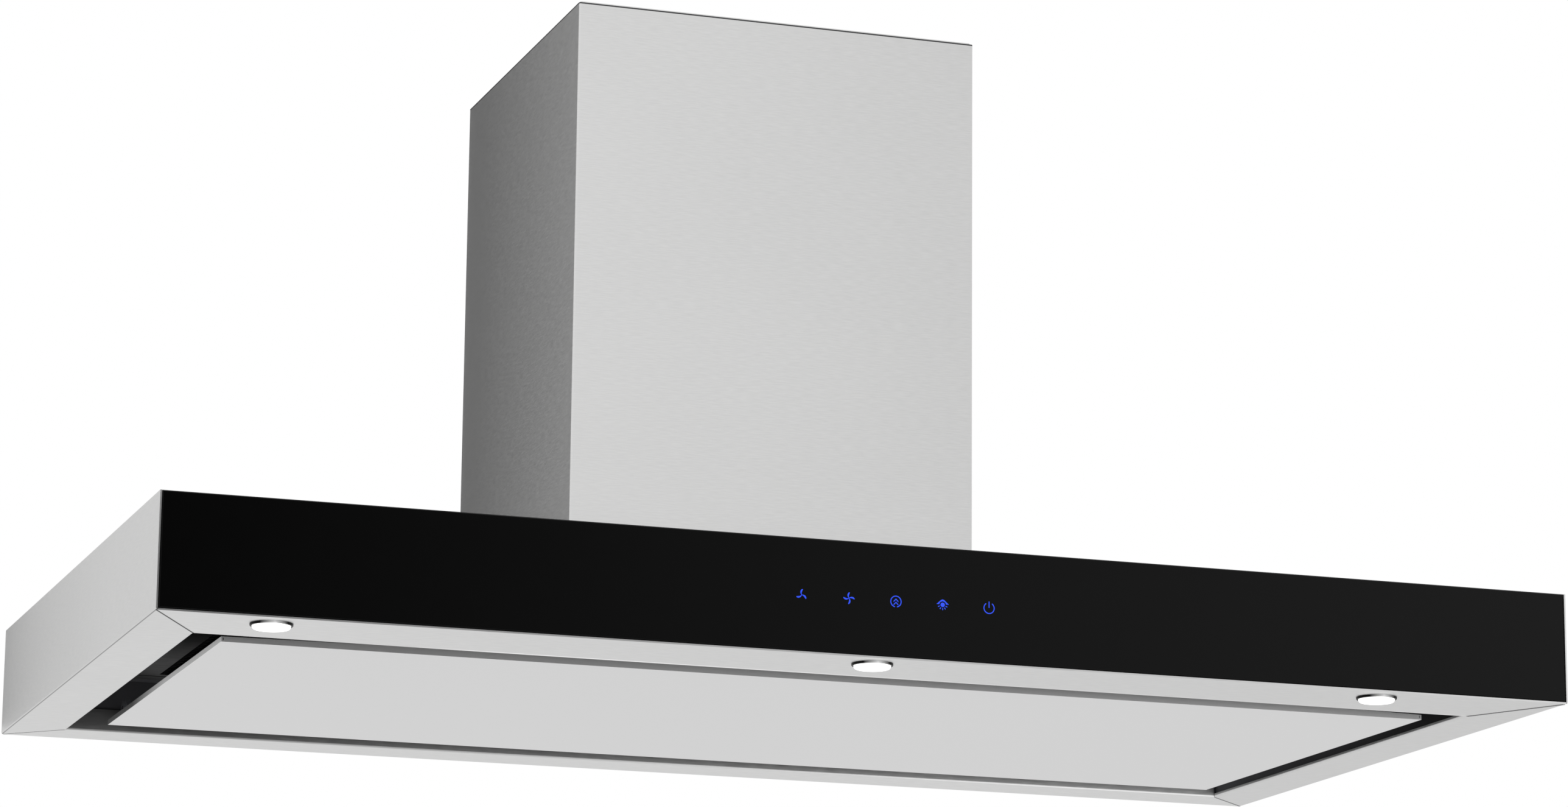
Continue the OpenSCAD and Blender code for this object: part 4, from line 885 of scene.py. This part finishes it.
class RANGEHOOD_OT_filters(bpy.types.Operator):
    """Finishes the tray and filters, and puts an expanded-metal lattice under each filter"""

    bl_idname = "rangehood.filters"
    bl_label = "Grease Filters"

    def execute(self, context):
        colours, trim = context.scene.hood_finishes, context.scene.hood_trim
        low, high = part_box("filter_tray")
        # Painted shade: the black tray and the dark filters stand in for the shade in the well.
        dress(satin_paint_with_painted_shade("tray_painted_shade", colours.tray, low.y, high.y), "filter_tray")
        rolled = mill_aluminium("filter_aluminium", colours.filter_metal, ROLLED_FRAME)
        knitted = knitted_mesh("filter_knit", colours.filter_metal)
        latch = moulded_plastic("latch_black", colours.black_plastic, roughness=0.42)
        for side in SIDES:
            dress(rolled, f"filter_frame_{side}")
            dress(knitted, f"filter_mesh_{side}")
            dress(latch, f"filter_latch_{side}")
            self.lattice(f"filter_lattice_{side}", f"filter_frame_{side}", rolled, trim)
        return {"FINISHED"}

    def lattice(self, name, frame_node, material, trim):
        """A sheet of diamonds between a frame's bars, cut away round the latch."""
        clearance = 0.0003
        low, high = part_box(frame_node)
        inset = trim.frame_bar + clearance
        x0, x1 = low.x + inset, high.x - inset
        y0, y1 = low.y + inset, high.y - inset
        middle = ((x0 + x1) / 2, (y0 + y1) / 2, low.z + clearance + trim.strand / 2)
        bm = bmesh.new()
        cells = math.ceil((y1 - y0) / trim.diamond_width + (x1 - x0) / trim.diamond_length) + 2
        bmesh.ops.create_grid(bm, x_segments=cells, y_segments=cells, size=cells / 2)
        bmesh.ops.rotate(bm, verts=bm.verts, matrix=Matrix.Rotation(math.pi / 4, 3, "Z"))
        half = math.sqrt(2) / 2
        stretch = (trim.diamond_length * half, trim.diamond_width * half, 1)
        bmesh.ops.scale(bm, verts=bm.verts, vec=stretch)
        bmesh.ops.translate(bm, verts=bm.verts, vec=middle)
        walls = (
            ((x0, 0, 0), (-1, 0, 0)), ((x1, 0, 0), (1, 0, 0)),
            ((0, y0, 0), (0, -1, 0)), ((0, y1, 0), (0, 1, 0)),
        )
        for place, normal in walls:
            geometry = bm.verts[:] + bm.edges[:] + bm.faces[:]
            bmesh.ops.bisect_plane(
                bm, geom=geometry, dist=1e-7, plane_co=place, plane_no=normal, clear_outer=True
            )
        by_latch = [face for face in bm.faces
                    if self.by_latch(face.calc_center_median(), middle[0], y0, trim)]
        bmesh.ops.delete(bm, geom=by_latch, context="FACES")
        bmesh.ops.dissolve_degenerate(bm, dist=0.0002, edges=bm.edges)
        bmesh.ops.wireframe(
            bm, faces=bm.faces, thickness=trim.strand, offset=0.0, use_replace=True,
            use_boundary=True, use_even_offset=False, use_crease=False, crease_weight=0.0,
            use_relative_offset=False,
        )
        self.border(bm, (x0, y0, x1, y1), middle, trim)
        finish_piece(bm, name, material, "hood")

    def border(self, bm, outline, middle, trim):
        """Plain strips round the lattice, open at the latch and a little thicker than it."""
        x0, y0, x1, y1 = outline
        width, gap = trim.lattice_border, trim.latch_half_width
        thickness = trim.strand * 1.1
        strips = (
            (x0, y0, x0 + width, y1), (x1 - width, y0, x1, y1),
            (x0 + width, y1 - width, x1 - width, y1),
            (x0 + width, y0, middle[0] - gap, y0 + width),
            (middle[0] + gap, y0, x1 - width, y0 + width),
        )
        for left, front, right, back in strips:
            made = bmesh.ops.create_cube(bm, size=1.0)["verts"]
            bmesh.ops.scale(bm, verts=made, vec=(right - left, back - front, thickness))
            place = ((left + right) / 2, (front + back) / 2, middle[2])
            bmesh.ops.translate(bm, verts=made, vec=place)

    def by_latch(self, place, middle, front, trim):
        """Whether a place lies in the room for a filter's latch."""
        return abs(place.x - middle) < trim.latch_half_width and place.y < front + trim.latch_room


class RANGEHOOD_OT_inner_parts(bpy.types.Operator):
    """Finishes the blower, control parts, hinges, collar and fasteners"""

    bl_idname = "rangehood.inner_parts"
    bl_label = "Inner Parts"

    def execute(self, context):
        colours = context.scene.hood_finishes
        dress(
            galvanised_steel("steel_galvanised", colours.zinc),
            "glass_carrier", "panel_stiffener", "hinge_arms", "panel_strikers", "blower_frame",
            "frame_cover", "motor", "motor_spider", "cover_angles", "ceiling_bracket",
        )
        dress(
            moulded_plastic("plastic_black", colours.black_plastic, roughness=0.45),
            "control_housing", "hinge_hooks", "panel_catches", "scroll_left", "scroll_right",
            "cable_gland",
        )
        dress(
            moulded_plastic("plastic_grey", colours.grey_plastic, roughness=0.42),
            "impeller", "capacitor", "module_case", "outlet_collar", "flap_front", "flap_back",
        )
        dress(circuit_board("board_green", colours.board), "touch_board", "module_board")
        dress(foam("tape_foam", colours.black_plastic), "glass_tapes")
        dress(
            bright_plate("fastener_plate", colour=(0.5, 0.5, 0.51), roughness=0.22),
            "hinge_pins", "motor_shaft", "motor_screws", "flap_rod", "bracket_rivets",
            "base_screws",
        )
        return {"FINISHED"}


class RANGEHOOD_OT_stage(bpy.types.Operator):
    """Sets the floor, the even light, the reflected cards and the camera"""

    bl_idname = "rangehood.stage"
    bl_label = "Stage"

    def execute(self, context):
        stage = context.scene.hood_stage
        self.world(context.scene, stage)
        self.floor(stage)
        self.wall_cards()
        self.front_cards()
        self.camera(context.scene, stage)
        context.scene.view_settings.view_transform = "Standard"
        return {"FINISHED"}

    def world(self, scene, stage):
        """Even light, and plain white where the camera, metal or glass looks past the object."""
        world = bpy.data.worlds.new("studio")
        world.use_nodes = True
        scene.world = world
        nodes = Nodes(world.node_tree)
        path = nodes.add("ShaderNodeLightPath")
        seen = path["Is Camera Ray"] + path["Is Glossy Ray"] + path["Is Transmission Ray"]
        strength = nodes.between(seen, stage.daylight, 1.0)
        light = nodes.add("ShaderNodeBackground", {}, {"Color": WHITE, "Strength": strength})[0]
        nodes.add("ShaderNodeOutputWorld", {}, {"Surface": light})

    def floor(self, stage):
        """A pale round floor that fades out at its rim and is open from below."""
        radius, fade_start = 16.0, 8.0
        glow_ends, left_glow, right_glow = (0.5, 5.0), 0.94, 0.83
        material, nodes = new_finish("stage_floor")
        tone = stage.floor_tone
        path = nodes.add("ShaderNodeLightPath")
        paint = nodes.add("ShaderNodeBsdfDiffuse", {}, {"Color": (tone, tone, tone, 1.0)})[0]
        level = nodes.spread(nodes.axes()["X"], *glow_ends, left_glow, right_glow)
        glow = nodes.add("ShaderNodeEmission", {}, {"Color": WHITE, "Strength": level})[0]
        sockets = {0: path["Is Glossy Ray"], 1: paint, 2: glow}
        bright = nodes.add("ShaderNodeMixShader", {}, sockets)[0]
        reach = nodes.add("ShaderNodeVectorMath", {"operation": "LENGTH"}, {0: nodes.place()})
        faded = nodes.spread(reach["Value"], fade_start, radius)
        below = nodes.add("ShaderNodeNewGeometry")["Backfacing"]
        nodes.one_sided(faded.math("MAXIMUM", faded, below), bright)
        bm = bmesh.new()
        bmesh.ops.create_circle(bm, cap_ends=True, radius=radius, segments=stage.segments)
        floor = finish_piece(bm, "stage_floor", material)
        floor.location.z = -stage.floor_drop

    def card(self, name, stops, ends, corner, size, turned=False):
        """An upright card that only reflections show. Its level runs along X between its ends.

        Stops hold the level, corner is the card's lower left one, and size its width and height.
        The face looks to the front, and a turned one looks to the wall.
        """
        material, nodes = new_finish(name)
        along = nodes.spread(nodes.axes()["X"], *ends)
        level = nodes.add("ShaderNodeValToRGB", {"stops": stops}, {0: along})[0]
        glow = nodes.add("ShaderNodeEmission", {}, {"Color": level, "Strength": 1.0})[0]
        nodes.one_sided(nodes.add("ShaderNodeNewGeometry")["Backfacing"], glow)
        width, height = size
        bm = bmesh.new()
        flat_shape(bm, [(0, 0), (width, 0), (width, height), (0, height)])
        bmesh.ops.translate(bm, verts=bm.verts, vec=corner)
        if turned:
            bmesh.ops.reverse_faces(bm, faces=bm.faces)
        piece = new_object(bm, name, material)
        piece.visible_camera = False
        piece.visible_diffuse = False
        piece.visible_transmission = False
        piece.visible_volume_scatter = False
        piece.visible_shadow = False

    def wall_cards(self):
        """Two grey cards just behind the wall plane, one each side of the chimney."""
        near, far, behind, foot, height = 0.142, 0.95, 0.03, 0.01, 0.99
        size = (far - near, height)
        left = [
            (0.0, 1.0), (0.35, 0.97), (0.5, 0.76), (0.6, 0.5),
            (0.64, 0.45), (0.8, 0.38), (1.0, 0.14),
        ]
        right = [(1 - place, level) for place, level in reversed(left)]
        self.card("stage_card_left", left, (-far, -near), (-far, behind, foot), size)
        self.card("stage_card_right", right, (near, far), (near, behind, foot), size)

    def front_cards(self):
        """A low strip before the glass, dark at its left, and a grey field before the chimney."""
        strip = [(0.0, 0.08), (0.3, 0.35), (0.5, 0.6), (1.0, 1.05)]
        self.card(
            "stage_card_glass", strip, ends=(-0.5, 0.5), corner=(-0.6, -0.56, -0.05),
            size=(1.3, 0.145), turned=True,
        )
        field = [(0.0, 1.0), (1.0, 0.82)]
        self.card(
            "stage_card_front", field, ends=(0.3, 0.7), corner=(0.25, -1.5, 0.1),
            size=(1.8, 1.6), turned=True,
        )

    def camera(self, scene, stage):
        """The camera, from its place, azimuth, elevation and roll."""
        azimuth, elevation, roll = stage.azimuth, stage.elevation, stage.roll
        level = math.cos(elevation)
        forward = Vector((
            math.sin(azimuth) * level, math.cos(azimuth) * level, math.sin(elevation),
        ))
        right = Vector((math.cos(azimuth), -math.sin(azimuth), 0))
        up = right.cross(forward)
        across = right * math.cos(roll) + up * math.sin(roll)
        rise = up * math.cos(roll) - right * math.sin(roll)
        turn = Matrix((across, rise, -forward)).transposed()
        data = bpy.data.cameras.new("camera")
        data.sensor_fit = "HORIZONTAL"
        data.sensor_width = 36.0
        data.lens = stage.lens
        data.clip_start, data.clip_end = 0.05, 100.0
        camera = bpy.data.objects.new("camera", data)
        camera.matrix_world = Matrix.Translation(stage.place) @ turn.to_4x4()
        scene.collection.objects.link(camera)
        scene.camera = camera


STEPS = (
    RANGEHOOD_OT_sheets,
    RANGEHOOD_OT_mitre_seams,
    RANGEHOOD_OT_panel_flange,
    RANGEHOOD_OT_cover_trim,
    RANGEHOOD_OT_keys,
    RANGEHOOD_OT_lamps,
    RANGEHOOD_OT_filters,
    RANGEHOOD_OT_inner_parts,
    RANGEHOOD_OT_stage,
)


class RANGEHOOD_PT_panel(bpy.types.Panel):
    """Lists the hood's pieces and their settings"""

    bl_label = "Range Hood"
    bl_idname = "RANGEHOOD_PT_panel"
    bl_space_type = "VIEW_3D"
    bl_region_type = "UI"
    bl_category = "Range Hood"

    def draw(self, context):
        for step in STEPS:
            self.layout.operator(step.bl_idname)
        scene = context.scene
        for group in (scene.hood_finishes, scene.hood_trim, scene.hood_stage):
            column = self.layout.column(align=True)
            for name in group.__annotations__:
                column.prop(group, name)


CLASSES = (
    RANGEHOOD_PG_finishes, RANGEHOOD_PG_trim, RANGEHOOD_PG_stage, *STEPS, RANGEHOOD_PT_panel
)


def register():
    for item in CLASSES:
        bpy.utils.register_class(item)
    bpy.types.Scene.hood_finishes = PointerProperty(type=RANGEHOOD_PG_finishes)
    bpy.types.Scene.hood_trim = PointerProperty(type=RANGEHOOD_PG_trim)
    bpy.types.Scene.hood_stage = PointerProperty(type=RANGEHOOD_PG_stage)


def unregister():
    del bpy.types.Scene.hood_stage
    del bpy.types.Scene.hood_trim
    del bpy.types.Scene.hood_finishes
    for item in reversed(CLASSES):
        bpy.utils.unregister_class(item)


def main():
    register()
    bpy.ops.rangehood.sheets()
    bpy.ops.rangehood.mitre_seams()
    bpy.ops.rangehood.panel_flange()
    bpy.ops.rangehood.cover_trim()
    bpy.ops.rangehood.keys()
    bpy.ops.rangehood.lamps()
    bpy.ops.rangehood.filters()
    bpy.ops.rangehood.inner_parts()
    bpy.ops.rangehood.stage()


if __name__ == "__main__":
    main()
